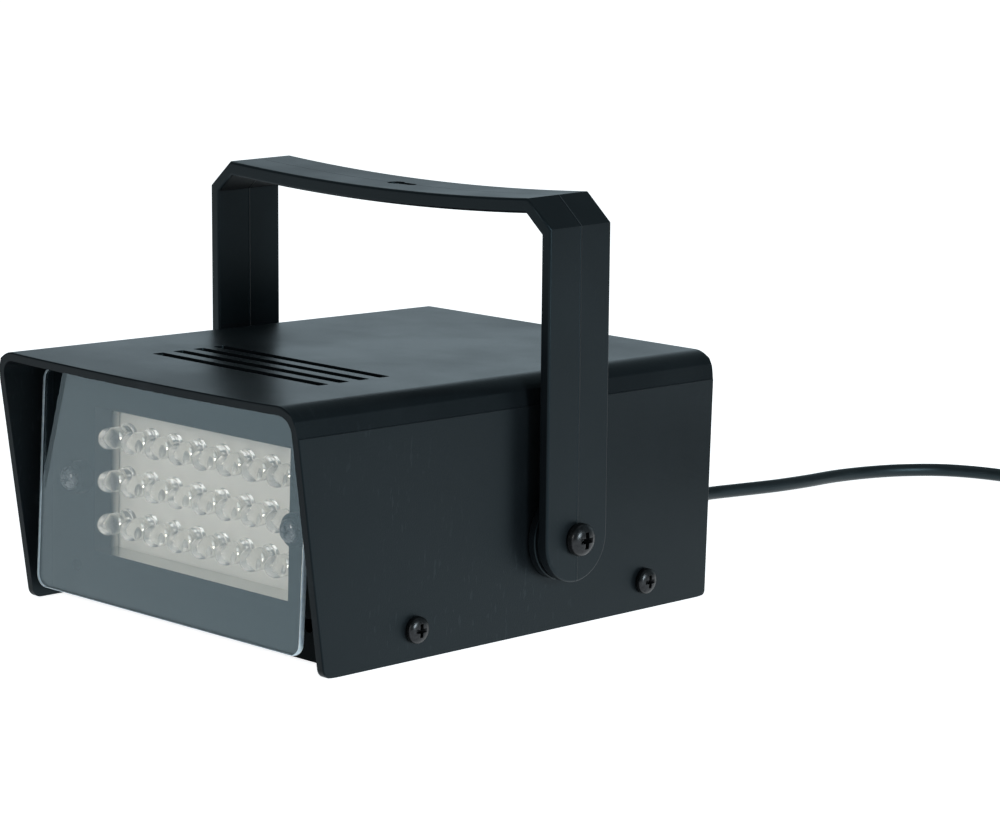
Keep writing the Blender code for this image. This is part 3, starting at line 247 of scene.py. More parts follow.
skin = bpy.data.node_groups.new("moulded_skin", "ShaderNodeTree")
for label, kind in (
        ("Colour", "NodeSocketColor"), ("Rubbed Colour", "NodeSocketColor"), ("Roughness", "NodeSocketFloat"),
        ("Grain Scale", "NodeSocketFloat"), ("Cloud Scale", "NodeSocketFloat"), ("Scuffs", "NodeSocketFloat")):
    skin.interface.new_socket(name=label, in_out="INPUT", socket_type=kind)
for label, kind in (("Colour", "NodeSocketColor"), ("Roughness", "NodeSocketFloat"), ("Height", "NodeSocketFloat")):
    skin.interface.new_socket(name=label, in_out="OUTPUT", socket_type=kind)
given = put(skin, "NodeGroupInput").outputs
where = put(skin, "ShaderNodeTexCoord").outputs["Object"]
grain = noise(skin, given["Grain Scale"], 3.0, 0.6, where)
cloud = ramp(skin, noise(skin, given["Cloud Scale"], 4.0, 0.55, where), 0.0, 1.0, 0.36, 0.66)
drawn_out = put(skin, "ShaderNodeMapping", {
    "Vector": where, "Rotation": (0.2, 0.1, 0.7), "Scale": (1, 11, 3)}).outputs[0]
lines = ramp(skin, noise(skin, 110.0, 1.0, spot=drawn_out), 0.0, 1.0, 0.64, 0.72)
patches = ramp(skin, noise(skin, 31.0, 2.0, spot=where), 0.0, 1.0, 0.52, 0.64)
scuffs = worked(skin, "MULTIPLY", worked(skin, "MULTIPLY", lines, patches), given["Scuffs"])
shade = worked(skin, "MULTIPLY_ADD", cloud, 0.3, scuffs)
speck = worked(skin, "MULTIPLY_ADD", grain, 0.12, shade)
put(skin, "NodeGroupOutput", {
    "Colour": mixed(skin, speck, given["Colour"], given["Rubbed Colour"]),
    "Roughness": worked(skin, "MULTIPLY_ADD", cloud, 0.08, given["Roughness"]),
    "Height": worked(skin, "MULTIPLY_ADD", scuffs, -0.3, grain)})


def moulding(name, colour, rubbed, roughness, grain_scale, grain_depth, cloud_scale, scuffing, gloss=0.3):
    """A moulded plastic in its own colours, with the shared skin's grain, clouds and scuffs."""
    # Its reflections get a blue tint, painted for the bluish light of the room.
    made, tree, shader = new_finish(name, Specular_IOR_Level=gloss, Specular_Tint=(0.6, 0.87, 1.0, 1))
    group = put(tree, "ShaderNodeGroup", node_tree=skin)
    values = ((*colour, 1), (*rubbed, 1), roughness, grain_scale, cloud_scale, scuffing)
    for socket, value in zip(group.inputs, values):
        socket.default_value = value
    bump = put(tree, "ShaderNodeBump", {"Height": group.outputs["Height"], "Distance": grain_depth}).outputs[0]
    feed(tree, shader, Base_Color=group.outputs["Colour"], Roughness=group.outputs["Roughness"], Normal=bump)
    return made


cord_vinyl = moulding("cord_vinyl", (0.006, 0.008, 0.009), (0.018, 0.021, 0.023), 0.36, 900, 0.02 * MM, 60, 0.1)
cord_curve.materials.append(cord_vinyl)
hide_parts("cord_run", "cord_coil", "cord_tail")
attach(flex, "housing")

# The strain relief: one soft moulding that is pushed through the rear panel, with a flange outside it and
# ribs that get thinner toward the flex, so that it bends a little at a time.
relief_length = 22.9 * MM
relief_radius = 4.2 * MM
relief_tip = 2.5 * MM
relief_ribs = 6
relief_flange = 6.0 * MM
relief_tail = -2.3 * MM


def alone(piece):
    """Leaves one piece selected and active."""
    bpy.ops.object.select_all(action="DESELECT")
    piece.select_set(True)
    bpy.context.view_layer.objects.active = piece


def drawn(name, points):
    """A line of points drawn on from one vertex by extruding it, left open in edit mode."""
    bpy.ops.object.select_all(action="DESELECT")
    bpy.ops.mesh.primitive_plane_add(size=MM)
    made = bpy.context.object
    made.name = name
    bpy.ops.object.mode_set(mode="EDIT")
    bpy.ops.mesh.select_mode(type="VERT")
    bpy.ops.mesh.select_all(action="SELECT")
    bpy.ops.mesh.merge(type="CENTER")
    bpy.ops.transform.translate(value=points[0])
    for here, there in zip(points, points[1:]):
        step = [b - a for a, b in zip(here, there)]
        bpy.ops.mesh.extrude_region_move(TRANSFORM_OT_translate={"value": step})
    return made


def spun(name, profile, steps):
    """A turned piece: its profile of radius and height is drawn and spun about Z."""
    made = drawn(name, [(radius, 0, height) for radius, height in profile])
    bpy.ops.mesh.select_all(action="SELECT")
    bpy.ops.mesh.spin(steps=steps, angle=2 * math.pi, center=(0, 0, 0), axis=(0, 0, 1))
    bpy.ops.mesh.select_all(action="SELECT")
    bpy.ops.mesh.remove_doubles(threshold=0.002 * MM)
    bpy.ops.mesh.normals_make_consistent(inside=False)
    bpy.ops.object.mode_set(mode="OBJECT")
    return made


def settle(piece, place=(0, 0, 0), turn=(0, 0, 0)):
    """Turns a piece and puts it in its place, which goes into its mesh."""
    alone(piece)
    piece.rotation_euler = turn
    piece.location = place
    bpy.ops.object.transform_apply(location=True, rotation=True, scale=True)


def rounded(piece, width, segments=2, angle=35):
    """Takes the sharpness off every edge, as a mould or a file does."""
    alone(piece)
    edge = piece.modifiers.new("edges", "BEVEL")
    edge.width = width
    edge.segments = segments
    edge.limit_method = "ANGLE"
    edge.angle_limit = math.radians(angle)
    bpy.ops.object.modifier_apply(modifier=edge.name)


def shaded(piece, *finishes, angle=35):
    """Gives a piece its materials and smooth shading that keeps flat faces flat."""
    for finish in finishes:
        piece.data.materials.append(finish)
    alone(piece)
    bpy.ops.object.shade_smooth_by_angle(angle=math.radians(angle))
    even = piece.modifiers.new("even", "WEIGHTED_NORMAL")
    even.keep_sharp = True
    bpy.ops.object.modifier_apply(modifier=even.name)


def fitted(piece, body, slot, *nodes):
    """The piece stands for its CAD nodes, which it hides, and moves with their body."""
    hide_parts(*nodes)
    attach(piece, body)


TO_REAR = (-math.pi / 2, 0, 0)
TO_FRONT = (math.pi / 2, 0, 0)
TO_SIDE = {1: (0, math.pi / 2, 0), -1: (0, -math.pi / 2, 0)}
SIDES = (("left", -1), ("right", 1))

profile = [(cord_radius * 1.04, relief_length), (relief_tip - 0.3 * MM, relief_length)]
profile += [(relief_tip, relief_length - 0.3 * MM)]
rib = (relief_length - 2 * MM) / (relief_ribs + 1)
for index in range(relief_ribs):
    high = relief_length - rib * (index + 0.75)
    radius = relief_tip + (relief_radius - relief_tip) * (relief_length - high) / relief_length
    groove = max(radius - 0.7 * MM, cord_radius * 1.1)
    low = high - 0.45 * rib
    profile += [(radius, high), (groove, high - 0.15 * MM), (groove, low + 0.15 * MM), (radius, low)]
profile += [(relief_radius, 2.0 * MM), (relief_flange - 0.4 * MM, 2.0 * MM), (relief_flange, 1.6 * MM)]
profile += [(relief_flange, 0.3 * MM), (relief_radius, 0.3 * MM), (relief_radius, relief_tail)]
profile += [(cord_radius * 1.04, relief_tail), (cord_radius * 1.04, relief_length)]
relief = spun("cord_relief", profile, 32)
rounded(relief, 0.12 * MM, 1, 50)
settle(relief, (cord_exit.x, panel_back, cord_exit.z), TO_REAR)
shaded(relief, cord_vinyl)
fitted(relief, "housing", "cord_vinyl", "strain_relief")

# The plug: a flat two-pin one, moulded on to the end of the flex, with a waist to hold it by. Its pins are
# nickel-plated brass, with a black sleeve over the half next to the plug.
plug_length = 34.0 * MM
plug_width = 35.0 * MM
plug_neck = 11.0 * MM
plug_thickness = 13.6 * MM
plug_taper = 0.62
plug_corner = 2.2 * MM
plug_round = 1.5 * MM
pin_radius = 2.0 * MM
pin_length = 19.0 * MM
pin_sleeve = 10.0 * MM
pin_spacing = 18.6 * MM


def middle_of(part):
    """The middle of a vertex, edge or face in edit mode."""
    if isinstance(part, bmesh.types.BMVert):
        return part.co.copy()
    if isinstance(part, bmesh.types.BMEdge):
        return (part.verts[0].co + part.verts[1].co) / 2
    return part.calc_center_median()


def choose(piece, kind, test):
    """Opens a piece in edit mode with those of its vertices, edges or faces selected that pass a test."""
    if bpy.context.mode != "EDIT_MESH":
        alone(piece)
        bpy.ops.object.mode_set(mode="EDIT")
    bpy.ops.mesh.select_mode(type=kind)
    bpy.ops.mesh.select_all(action="DESELECT")
    shape = bmesh.from_edit_mesh(piece.data)
    for part in {"VERT": shape.verts, "EDGE": shape.edges, "FACE": shape.faces}[kind]:
        if test(part, middle_of(part)):
            part.select_set(True)
    shape.select_flush_mode()
    bmesh.update_edit_mesh(piece.data)


def leave():
    """Closes edit mode."""
    bpy.ops.object.mode_set(mode="OBJECT")


def block(name, low, high):
    """A cube stretched between two corners, to be shaped further."""
    bpy.ops.object.select_all(action="DESELECT")
    low, high = Vector(low), Vector(high)
    bpy.ops.mesh.primitive_cube_add(size=1, location=(low + high) / 2)
    made = bpy.context.object
    made.name = name
    made.scale = high - low
    bpy.ops.object.transform_apply(location=True, rotation=True, scale=True)
    return made


def along(edge, axis):
    """True for an edge that runs along X, Y or Z (0, 1, 2)."""
    run = edge.verts[1].co - edge.verts[0].co
    return abs(run[axis]) > 0.95 * run.length


def slab(name, outline, depth):
    """A flat outline, filled and drawn out along a vector, left open in edit mode."""
    made = drawn(name, outline)
    bpy.ops.mesh.select_all(action="SELECT")
    bpy.ops.mesh.edge_face_add()
    bpy.ops.mesh.select_all(action="SELECT")
    bpy.ops.mesh.extrude_region_move(TRANSFORM_OT_translate={"value": depth})
    bpy.ops.mesh.select_all(action="SELECT")
    bpy.ops.mesh.normals_make_consistent(inside=False)
    return made


half = plug_width / 2
shoulder = -0.55 * plug_length
plug_outline = [(plug_neck / 2, 0), (0.5 * half, 0.3 * shoulder), (0.72 * half, 0.68 * shoulder), (half, shoulder)]
plug_outline += [(half, -plug_length)]
plug_outline += [(-x, y) for x, y in reversed(plug_outline)]
plug = slab("flex_plug", [(x, y, -plug_thickness / 2) for x, y in plug_outline], (0, 0, plug_thickness))
choose(plug, "EDGE", lambda e, m: m.y > -1 * MM and not along(e, 2))
bpy.ops.transform.resize(value=(1, 1, plug_taper), center_override=(0, 0, 0))
choose(plug, "EDGE", lambda e, m: e.calc_face_angle(0) > 0.3 and along(e, 2))
bpy.ops.mesh.bevel(offset=plug_corner, segments=4, affect="EDGES", clamp_overlap=True)
leave()
rounded(plug, plug_round, 4, 40)
settle(plug, plug_entry)
shaded(plug, cord_vinyl)
fitted(plug, "housing", "cord_vinyl", "plug")

plated, tree, shader = new_finish("nickel_plate", Metallic=1.0)
spot = put(tree, "ShaderNodeTexCoord").outputs["Object"]
drag = put(tree, "ShaderNodeMapping", {"Vector": spot, "Scale": (1, 0.15, 1)}).outputs[0]
polish = noise(tree, 1500.0, 3.0, spot=drag)
feed(tree, shader, Base_Color=mixed(tree, polish, (0.5, 0.5, 0.49, 1), (0.7, 0.7, 0.68, 1)),
     Roughness=ramp(tree, polish, 0.16, 0.34))

for side, sign in SIDES:
    profile = [(0, pin_length), (pin_radius - 1.3 * MM, pin_length), (pin_radius - 0.7 * MM, pin_length - 0.35 * MM)]
    profile += [(pin_radius - 0.3 * MM, pin_length - 1.2 * MM), (pin_radius - 0.25 * MM, pin_sleeve)]
    profile += [(pin_radius, pin_sleeve - 0.2 * MM), (pin_radius, 0), (0, 0)]
    pin = spun("flex_pin_" + side, profile, 24)
    settle(pin, plug_entry + Vector((sign * pin_spacing / 2, -plug_length - 0.3 * MM, 0)), TO_FRONT)
    shaded(pin, plated, cord_vinyl)
    for face in pin.data.polygons:
        if face.center.y > plug_entry.y - plug_length - pin_sleeve - 0.1 * MM:
            face.material_index = 1
    fitted(pin, "housing", "bright_steel", "plug_pin_" + side)

# The case's hood: one black ABS moulding, 2 mm thick, an upturned U with round top edges. Its mouth slants back
# to the feet, and four vents are cut behind it. A shallow ledge runs along each side, with a little draft on the
# shoulder above it, and the lip over the mouth sags in its middle.
hood_width = 100.0 * MM
hood_height = 58.8 * MM
hood_wall = 2.0 * MM
hood_edge = 5.75 * MM
mouth_slant = 9.8 * MM
ledge_height = 52.3 * MM
ledge_depth = 0.25 * MM
ledge_draft = 0.9 * MM
lip_sag = 0.5 * MM
lip_step = 8.0 * MM
lip_ends = 5.9
front_foot = 2.0 * MM
rear_foot = 1.2 * MM
rim_round = 0.4 * MM
vent_count = 4
vent_length = 55.2 * MM
vent_width = 3.1 * MM
vent_corner = 0.4 * MM
vent_pitch = 6.1 * MM
vent_middle = 3.1 * MM
first_vent = 26.2 * MM
lip_reach = 0.85 * first_vent
cover_screw_height = 6.9 * MM
screw_hole = 1.75 * MM
pivot_hole = 2.2 * MM
bezel_front = middle_y - hood_depth / 2 + 15.7 * MM
cover_screw_ys = (bezel_front + 20.7 * MM, panel_back - 20.7 * MM)
pivot = Vector(next(joint for joint in frame["joints"] if joint["name"] == "yoke_tilt")["pos_m"])


def bevel(piece, test, width, segments):
    """Rounds the edges of a piece that pass a test, and closes edit mode."""
    choose(piece, "EDGE", test)
    bpy.ops.mesh.bevel(offset=width, segments=segments, affect="EDGES")
    leave()


def cut(piece, cutter, operation="DIFFERENCE"):
    """Cuts a piece with another, or joins the two, and clears the other away."""
    alone(piece)
    knife = piece.modifiers.new("cut", "BOOLEAN")
    knife.operation = operation
    knife.solver = "EXACT"
    knife.object = cutter
    bpy.ops.object.modifier_apply(modifier=knife.name)
    bpy.data.objects.remove(cutter, do_unlink=True)


def drill(piece, radius, start, end, sides=24):
    """Cuts a round hole between two points."""
    start, end = Vector(start), Vector(end)
    bpy.ops.object.select_all(action="DESELECT")
    bpy.ops.mesh.primitive_cylinder_add(vertices=sides, radius=radius, depth=(end - start).length)
    bit = bpy.context.object
    settle(bit, (start + end) / 2, (end - start).to_track_quat("Z", "Y").to_euler())
    cut(piece, bit)


hood_front = middle_y - hood_depth / 2
hood_rear = middle_y + hood_depth / 2
half = hood_width / 2
hood = block("hood_shell", (-half, hood_front - 2 * MM, 0), (half, hood_rear + 2 * MM, hood_height))
choose(hood, "FACE", lambda f, m: f.normal.z < -0.5 or abs(f.normal.y) > 0.5)
bpy.ops.mesh.delete(type="FACE")
bevel(hood, lambda e, m: along(e, 1) and m.z > hood_height / 2, hood_edge, 12)
wall = hood.modifiers.new("wall", "SOLIDIFY")
wall.thickness = hood_wall
wall.offset = -1
wall.use_even_offset = True
bpy.ops.object.modifier_apply(modifier=wall.name)
mouth_plane = ((0, hood_front, hood_height), (0, -hood_height, -mouth_slant))
rear_plane = ((0, hood_rear, 0), (0, 1, 0))
bpy.ops.object.mode_set(mode="EDIT")
for place, facing in (mouth_plane, rear_plane):
    bpy.ops.mesh.select_all(action="SELECT")
    bpy.ops.mesh.bisect(plane_co=place, plane_no=facing, use_fill=True, clear_outer=True)
for end, radius in ((-1, front_foot), (1, rear_foot)):
    bevel(hood, lambda e, m: along(e, 0) and m.z < 0.1 * MM and (m.y - middle_y) * end > 0, radius, 6)


def on_rim(edge, middle):
    """True for the outer edges of the mouth and of the rear end, feet included."""
    outside = abs(middle.x) > half - hood_wall / 2 or middle.z > hood_height - hood_wall / 2
    back_set = middle.y - hood_front - mouth_slant * (1 - middle.z / hood_height)
    at_end = back_set < 0.2 * MM or middle.y > hood_rear - 0.2 * MM
    at_foot = middle.z < front_foot and (back_set < front_foot or middle.y > hood_rear - rear_foot)
    return outside and (at_end or at_foot) and edge.calc_face_angle(0) > 0.9


bevel(hood, on_rim, rim_round, 3)
for side, sign in SIDES:
    near, far = sorted((sign * (half - ledge_depth), sign * (half + hood_wall)))
    shoulder = block("shoulder", (near, hood_front - MM, ledge_height), (far, hood_rear + MM, hood_height))
    choose(shoulder, "EDGE", lambda e, m: along(e, 1) and m.z > ledge_height + MM and abs(m.x) < half)
    bpy.ops.transform.translate(value=(-sign * ledge_draft, 0, 0))
    leave()
    cut(hood, shoulder)
for index in range(vent_count):
    y = hood_front + first_vent + index * vent_pitch
    slot = block("slot", (vent_middle - vent_length / 2, y - vent_width / 2, hood_height - 2 * hood_wall),
                 (vent_middle + vent_length / 2, y + vent_width / 2, hood_height + hood_wall))
    bevel(slot, lambda e, m: along(e, 2), vent_corner, 3)
    cut(hood, slot)
alone(hood)
bpy.ops.object.mode_set(mode="EDIT")
for index in range(-5, 6):
    bpy.ops.mesh.select_all(action="SELECT")
    bpy.ops.mesh.bisect(plane_co=(index * lip_step, 0, 0), plane_no=(1, 0, 0))
for share in (0.25, 0.5, 0.75, 1.0):
    bpy.ops.mesh.select_all(action="SELECT")
    bpy.ops.mesh.bisect(plane_co=(0, hood_front + share * lip_reach, 0), plane_no=(0, 1, 0))
for index in range(-5, 6):
    for share in (0.0, 0.25, 0.5, 0.75):
        near, far = (hood_front + s * lip_reach for s in (share - 0.2, share + 0.2))
        choose(hood, "VERT", lambda v, m: abs(m.x - index * lip_step) < 0.1 * MM and near < m.y < far and m.z > half)
        drop = lip_sag * (1 - (index / lip_ends) ** 2) * (1 - share) ** 2
        bpy.ops.transform.translate(value=(0, 0, -drop))
leave()
for y in cover_screw_ys:
    drill(hood, screw_hole, (-half - MM, y, cover_screw_height), (half + MM, y, cover_screw_height))
drill(hood, pivot_hole, (-half - MM, pivot.y, pivot.z), (half + MM, pivot.y, pivot.z))
rounded(hood, 0.12 * MM, 2, 40)
black = (0.003, 0.004, 0.005)
rubbed_black = (0.01, 0.0125, 0.0145)
case_plastic = moulding("case_plastic", black, rubbed_black, 0.29, 2600, 0.03 * MM, 26, 0.7, gloss=0.2)
rim_plastic = moulding("rim_plastic", black, rubbed_black, 0.4, 2600, 0.03 * MM, 26, 0.7, gloss=0.1)
for face in hood.data.polygons:
    face.material_index = 1 if face.normal.y < -0.6 and face.center.y < hood_front + 1.1 * mouth_slant else 0
shaded(hood, case_plastic, rim_plastic)
fitted(hood, "housing", "black_plastic", "hood")

# The front plate: flat black plastic, with a window and a short sleeve behind it round the lamps. The sleeve's
# walls are black with the board's light painted on them near the board, and its floor is a pale mirror that
# reflects the board. Two round bosses carry the screws that the clear pane leans on, and two small holes are near
# the plate's foot.
chassis_half = half - hood_wall - 0.3 * MM
chassis_foot = 1.0 * MM
chassis_top = hood_height - hood_wall - 0.3 * MM
bezel_thickness = 2.0 * MM
window_width = 65.2 * MM
window_height = 33.3 * MM
window_z = 29.75 * MM
sleeve_wall = 1.6 * MM
board_front = bezel_front + 7.5 * MM
boss_x = chassis_half - 10.8 * MM
boss_radius = 3.75 * MM
boss_length = 3.1 * MM
plate_corner = 4.05 * MM
foot_hole = 1.5 * MM
foot_hole_x = chassis_half - 9.0 * MM
foot_hole_z = 8.8 * MM


def chassis_plate(name, front, back):
    """A flat plate across the case with round top corners."""
    made = block(name, (-chassis_half, front, chassis_foot), (chassis_half, back, chassis_top))
    bevel(made, lambda e, m: along(e, 1) and m.z > window_z, plate_corner, 8)
    return made


bezel = chassis_plate("front_plate", bezel_front, bezel_front + bezel_thickness)
x, z = window_width / 2, window_height / 2
cut(bezel, block("sleeve", (-x - sleeve_wall, bezel_front + MM, window_z - z - sleeve_wall),
                 (x + sleeve_wall, board_front - 0.3 * MM, window_z + z + sleeve_wall)), "UNION")
for side, sign in SIDES:
    bpy.ops.object.select_all(action="DESELECT")
    bpy.ops.mesh.primitive_cylinder_add(vertices=40, radius=boss_radius, depth=boss_length + MM)
    boss = bpy.context.object
    settle(boss, (sign * boss_x, bezel_front + (MM - boss_length) / 2, window_z), TO_FRONT)
    cut(bezel, boss, "UNION")
cut(bezel, block("window", (-x, bezel_front - MM, window_z - z), (x, board_front + MM, window_z + z)))
for side, sign in SIDES:
    drill(bezel, screw_hole, (sign * boss_x, bezel_front - 5 * MM, window_z), (sign * boss_x, board_front, window_z))
    drill(bezel, foot_hole, (sign * foot_hole_x, bezel_front - MM, foot_hole_z),
          (sign * foot_hole_x, board_front, foot_hole_z))
rounded(bezel, 0.15 * MM, 2, 40)
for face in bezel.data.polygons:
    spot = face.center
    in_sleeve = abs(spot.x) < x + 0.1 * MM and abs(spot.z - window_z) < z + 0.1 * MM
    face.material_index = 1 if in_sleeve and spot.y > bezel_front + 0.2 * MM else 0
inner_plastic = moulding(
    "inner_plastic", (0.0005, 0.0008, 0.001), (0.002, 0.003, 0.0035), 0.28, 2200, 0.015 * MM, 30, 0.2, gloss=0.02)
well_painted_light, tree, shader = new_finish("well_painted_light", Specular_IOR_Level=0.15)
spot = put(tree, "ShaderNodeTexCoord").outputs["Object"]
place = put(tree, "ShaderNodeSeparateXYZ", {0: spot}).outputs
film = noise(tree, 300.0, 3.0, spot=spot)
# Painted light: the sleeve's walls are painted pale near the board for the board's light on them, and fade to black
# toward the front.
board_light_fade = put(tree, "ShaderNodeMapRange", {
    "Value": place["Y"], "From Min": bezel_front + 4.6 * MM, "From Max": bezel_front + 7.2 * MM},
    interpolation_type="SMOOTHSTEP").outputs[0]
on_floor = worked(tree, "LESS_THAN", place["Z"], window_z - window_height / 2 + 0.05 * MM)
painted_board_light = mixed(tree, film, (0.66, 0.65, 0.59, 1), (0.7, 0.69, 0.63, 1))
# The walls' colour: black plastic, with the painted board light over it near the board.
sides = mixed(tree, board_light_fade, (0.003, 0.004, 0.0045, 1), painted_board_light)
mirrored = mixed(tree, film, (0.64, 0.645, 0.62, 1), (0.7, 0.705, 0.68, 1))
feed(tree, shader, Base_Color=mixed(tree, on_floor, sides, mirrored), Metallic=on_floor,
     Roughness=ramp(tree, film, 0.14, 0.26))
shaded(bezel, inner_plastic, well_painted_light)
fitted(bezel, "housing", "black_plastic", "front_bezel")

# The window pane: 1.5 mm clear acrylic, cut with round corners and polished; the light that its edge gathers is
# painted on the edge in pale blue. It leans back a little against the two screw heads, just inside the mouth.
pane_half = half - hood_wall - 3.15 * MM
pane_foot = 3.8 * MM
pane_height = hood_height - hood_wall - 2.1 * MM - pane_foot
pane_thickness = 1.5 * MM
pane_corner = 3.0 * MM
pane_polish = 0.45 * MM
pane_trim = 0.8 * MM
pane_lean = math.radians(1.8)
head_face = bezel_front - boss_length - 2.4 * MM
pane = block("window_pane", (-pane_half, -pane_thickness, 0), (pane_half - pane_trim, 0, pane_height))
bevel(pane, lambda e, m: along(e, 1), pane_corner, 8)
rounded(pane, pane_polish, 3, 50)
for face in pane.data.polygons:
    face.material_index = 0 if abs(face.normal.y) > 0.9 else 1
settle(pane, (0, head_face + (pane_foot - window_z) * math.tan(pane_lean), pane_foot), (-pane_lean, 0, 0))


def lets_light_in(tree, shader, tint):
    """Glass that lamps shine straight through: the light's own rays meet a plain filter in its place."""
    own_ray = put(tree, "ShaderNodeLightPath").outputs["Is Shadow Ray"]
    filtered = put(tree, "ShaderNodeBsdfTransparent", {"Color": (*tint, 1)})
    both = put(tree, "ShaderNodeMixShader", {0: own_ray, 1: shader.outputs[0], 2: filtered.outputs[0]})
    tree.links.new(both.outputs[0], tree.nodes["Material Output"].inputs["Surface"])


def varied(name, scale, detail, colours, roughness, **sockets):
    """A finish whose colour and roughness wander between two values each, with one fine noise."""
    made, tree, shader = new_finish(name, **sockets)
    grain = noise(tree, scale, detail)
    first, second = colours
    feed(tree, shader, Base_Color=mixed(tree, grain, (*first, 1), (*second, 1)),
         Roughness=ramp(tree, grain, *roughness))
    return made


# The pane's reflections get a blue tint, painted for the bluish light of the room.
clear_acrylic, tree, shader = new_finish(
    "clear_acrylic", Transmission_Weight=1.0, IOR=1.53, Specular_Tint=(0.6, 0.87, 1.0, 1),
    Base_Color=(0.985, 0.985, 0.98, 1))
lets_light_in(tree, shader, (0.95, 0.95, 0.95))
feed(tree, shader, Roughness=ramp(tree, noise(tree, 45.0, 5.0), 0.0, 0.035, 0.4, 0.75))
# The edge's pale blue is painted light: a painted glow for the light that the polished edge gathers.
acrylic_edge_painted_glow = varied(
    "acrylic_edge_painted_glow", 900.0, 2.0, ((0.32, 0.46, 0.62), (0.85, 0.97, 1.0)), (0.25, 0.5), Transmission_Weight=0.35,
    IOR=1.49)
shaded(pane, clear_acrylic, acrylic_edge_painted_glow)
fitted(pane, "housing", "clear_plastic", "clear_pane")

# The screws: black zinc-plated pan heads with a cross recess. Two hold the front plate, in a lighter zinc that is a
# painted highlight for their glints; two on each side hold the hood to the tray, and one on each side is the yoke's
# pivot.
blackened = varied(
    "black_zinc", 1400.0, 4.0, ((0.01, 0.0105, 0.012), (0.042, 0.044, 0.047)), (0.2, 0.42), Metallic=0.85,
    Specular_IOR_Level=0.6)
# A lighter copy of the black zinc: a painted highlight for the glints on the front plate's screws.
zinc_painted_glint = varied(
    "zinc_painted_glint", 1100.0, 4.0, ((0.035, 0.038, 0.042), (0.12, 0.125, 0.13)), (0.18, 0.38), Metallic=0.9,
    Specular_IOR_Level=0.6)
plate_screw = (2.6 * MM, 1.8 * MM, 1.45 * MM, 6.5 * MM)
side_screw = (3.0 * MM, 1.9 * MM, 1.45 * MM, 6.0 * MM)


def screw(name, size, place, turn, node, finish=blackened):
    """A pan-head screw. Its size is the head's radius and height and the shank's radius and length."""
    head, rise, shank, length = size
    profile = [(0, rise), (0.3 * head, 0.99 * rise), (0.52 * head, 0.95 * rise), (0.7 * head, 0.87 * rise)]
    profile += [(0.86 * head, 0.74 * rise), (0.96 * head, 0.58 * rise), (head, 0.4 * rise), (head, 0.06 * rise)]
    profile += [(0.96 * head, 0), (shank, 0), (shank, -length + shank / 2), (0.5 * shank, -length), (0, -length)]
    made = spun(name, profile, 36)
    for quarter in (0, 1):
        wing = block("wing", (-0.62 * head, -0.17 * head, 0.25 * rise), (0.62 * head, 0.17 * head, 1.3 * rise))
        choose(wing, "FACE", lambda f, m: f.normal.z < -0.5)
        bpy.ops.transform.resize(value=(0.5, 0.75, 1), center_override=(0, 0, 0.3 * rise))
        leave()
        settle(wing, (0, 0, 0), (0, 0, quarter * math.pi / 2))
        cut(made, wing)
    rounded(made, 0.07 * MM, 2, 45)
    settle(made, place, turn)
    shaded(made, finish, angle=40)
    fitted(made, "yoke" if node.startswith("yoke") else "housing", "black_steel", node)


for side, sign in SIDES:
    screw("plate_screw_" + side, plate_screw, (sign * boss_x, bezel_front - boss_length - 0.3 * MM, window_z),
          TO_FRONT, "bezel_screw_" + side, zinc_painted_glint)
    for end, y in zip(("front", "rear"), cover_screw_ys):
        screw("side_screw_%s_%s" % (end, side), side_screw, (sign * (half + 0.3 * MM), y, cover_screw_height),
              TO_SIDE[sign], "cover_screw_%s_%s" % (end, side))

# The lamps: 24 clear 5 mm diodes in three rows on a white board. Each is a cast resin bullet with a flange, and
# in it the tinned lead frame, low in the resin: an anvil with a small bright cup, and a thinner post beside it.
lamp_rows = 3
lamp_columns = 8
lamp_pitch_x = 8.05 * MM
lamp_pitch_z = 9.92 * MM
lamp_radius = 2.5 * MM
lamp_height = 8.65 * MM
lamp_flange = 2.9 * MM
lamp_standoff = 0.9 * MM
lead_offset = 1.27 * MM
lead_half = 0.25 * MM
board_thickness = 1.6 * MM
board_margin = 4.0 * MM
board_half_x = window_width / 2 + board_margin
board_half_z = window_height / 2 + board_margin
board = block("lamp_board", (-board_half_x, board_front, window_z - board_half_z),
              (board_half_x, board_front + board_thickness, window_z + board_half_z))
rounded(board, 0.1 * MM, 2)
solder_mask, tree, shader = new_finish("white_solder_mask", Specular_IOR_Level=0.35)
stain = noise(tree, 35.0, 3.0)
ripple = put(tree, "ShaderNodeBump", {"Height": noise(tree, 700.0, 2.0), "Distance": 0.01 * MM}).outputs[0]
feed(tree, shader, Base_Color=mixed(tree, stain, (0.67, 0.665, 0.62, 1), (0.7, 0.695, 0.65, 1)),
     Roughness=ramp(tree, stain, 0.32, 0.5), Normal=ripple)
shaded(board, solder_mask)
fitted(board, "housing", "board_white", "led_board")

resin, tree, shader = new_finish("clear_resin", Transmission_Weight=0.9, IOR=1.36, Base_Color=(1.0, 0.99, 0.965, 1))
lets_light_in(tree, shader, (0.96, 0.955, 0.94))
cast = noise(tree, 260.0, 2.0)
flow = put(tree, "ShaderNodeBump", {"Height": cast, "Distance": 0.012 * MM}).outputs[0]
feed(tree, shader, Roughness=ramp(tree, cast, 0.02, 0.08), Normal=flow)
tinned = varied("tinned_frame", 2400.0, 2.0, ((0.72, 0.72, 0.7), (0.86, 0.86, 0.84)), (0.12, 0.3), Metallic=1.0)
dome = lamp_height - lamp_radius
profile = [(0, 0), (lamp_flange - 0.1 * MM, 0), (lamp_flange, 0.12 * MM), (lamp_flange, 0.88 * MM)]
profile += [(lamp_flange - 0.12 * MM, 1.0 * MM), (lamp_radius, 1.0 * MM)]
for step in range(9):
    angle = math.pi / 2 * step / 8
    profile.append((lamp_radius * math.cos(angle), dome + lamp_radius * math.sin(angle)))
lamp = spun("lamp", profile, 28)
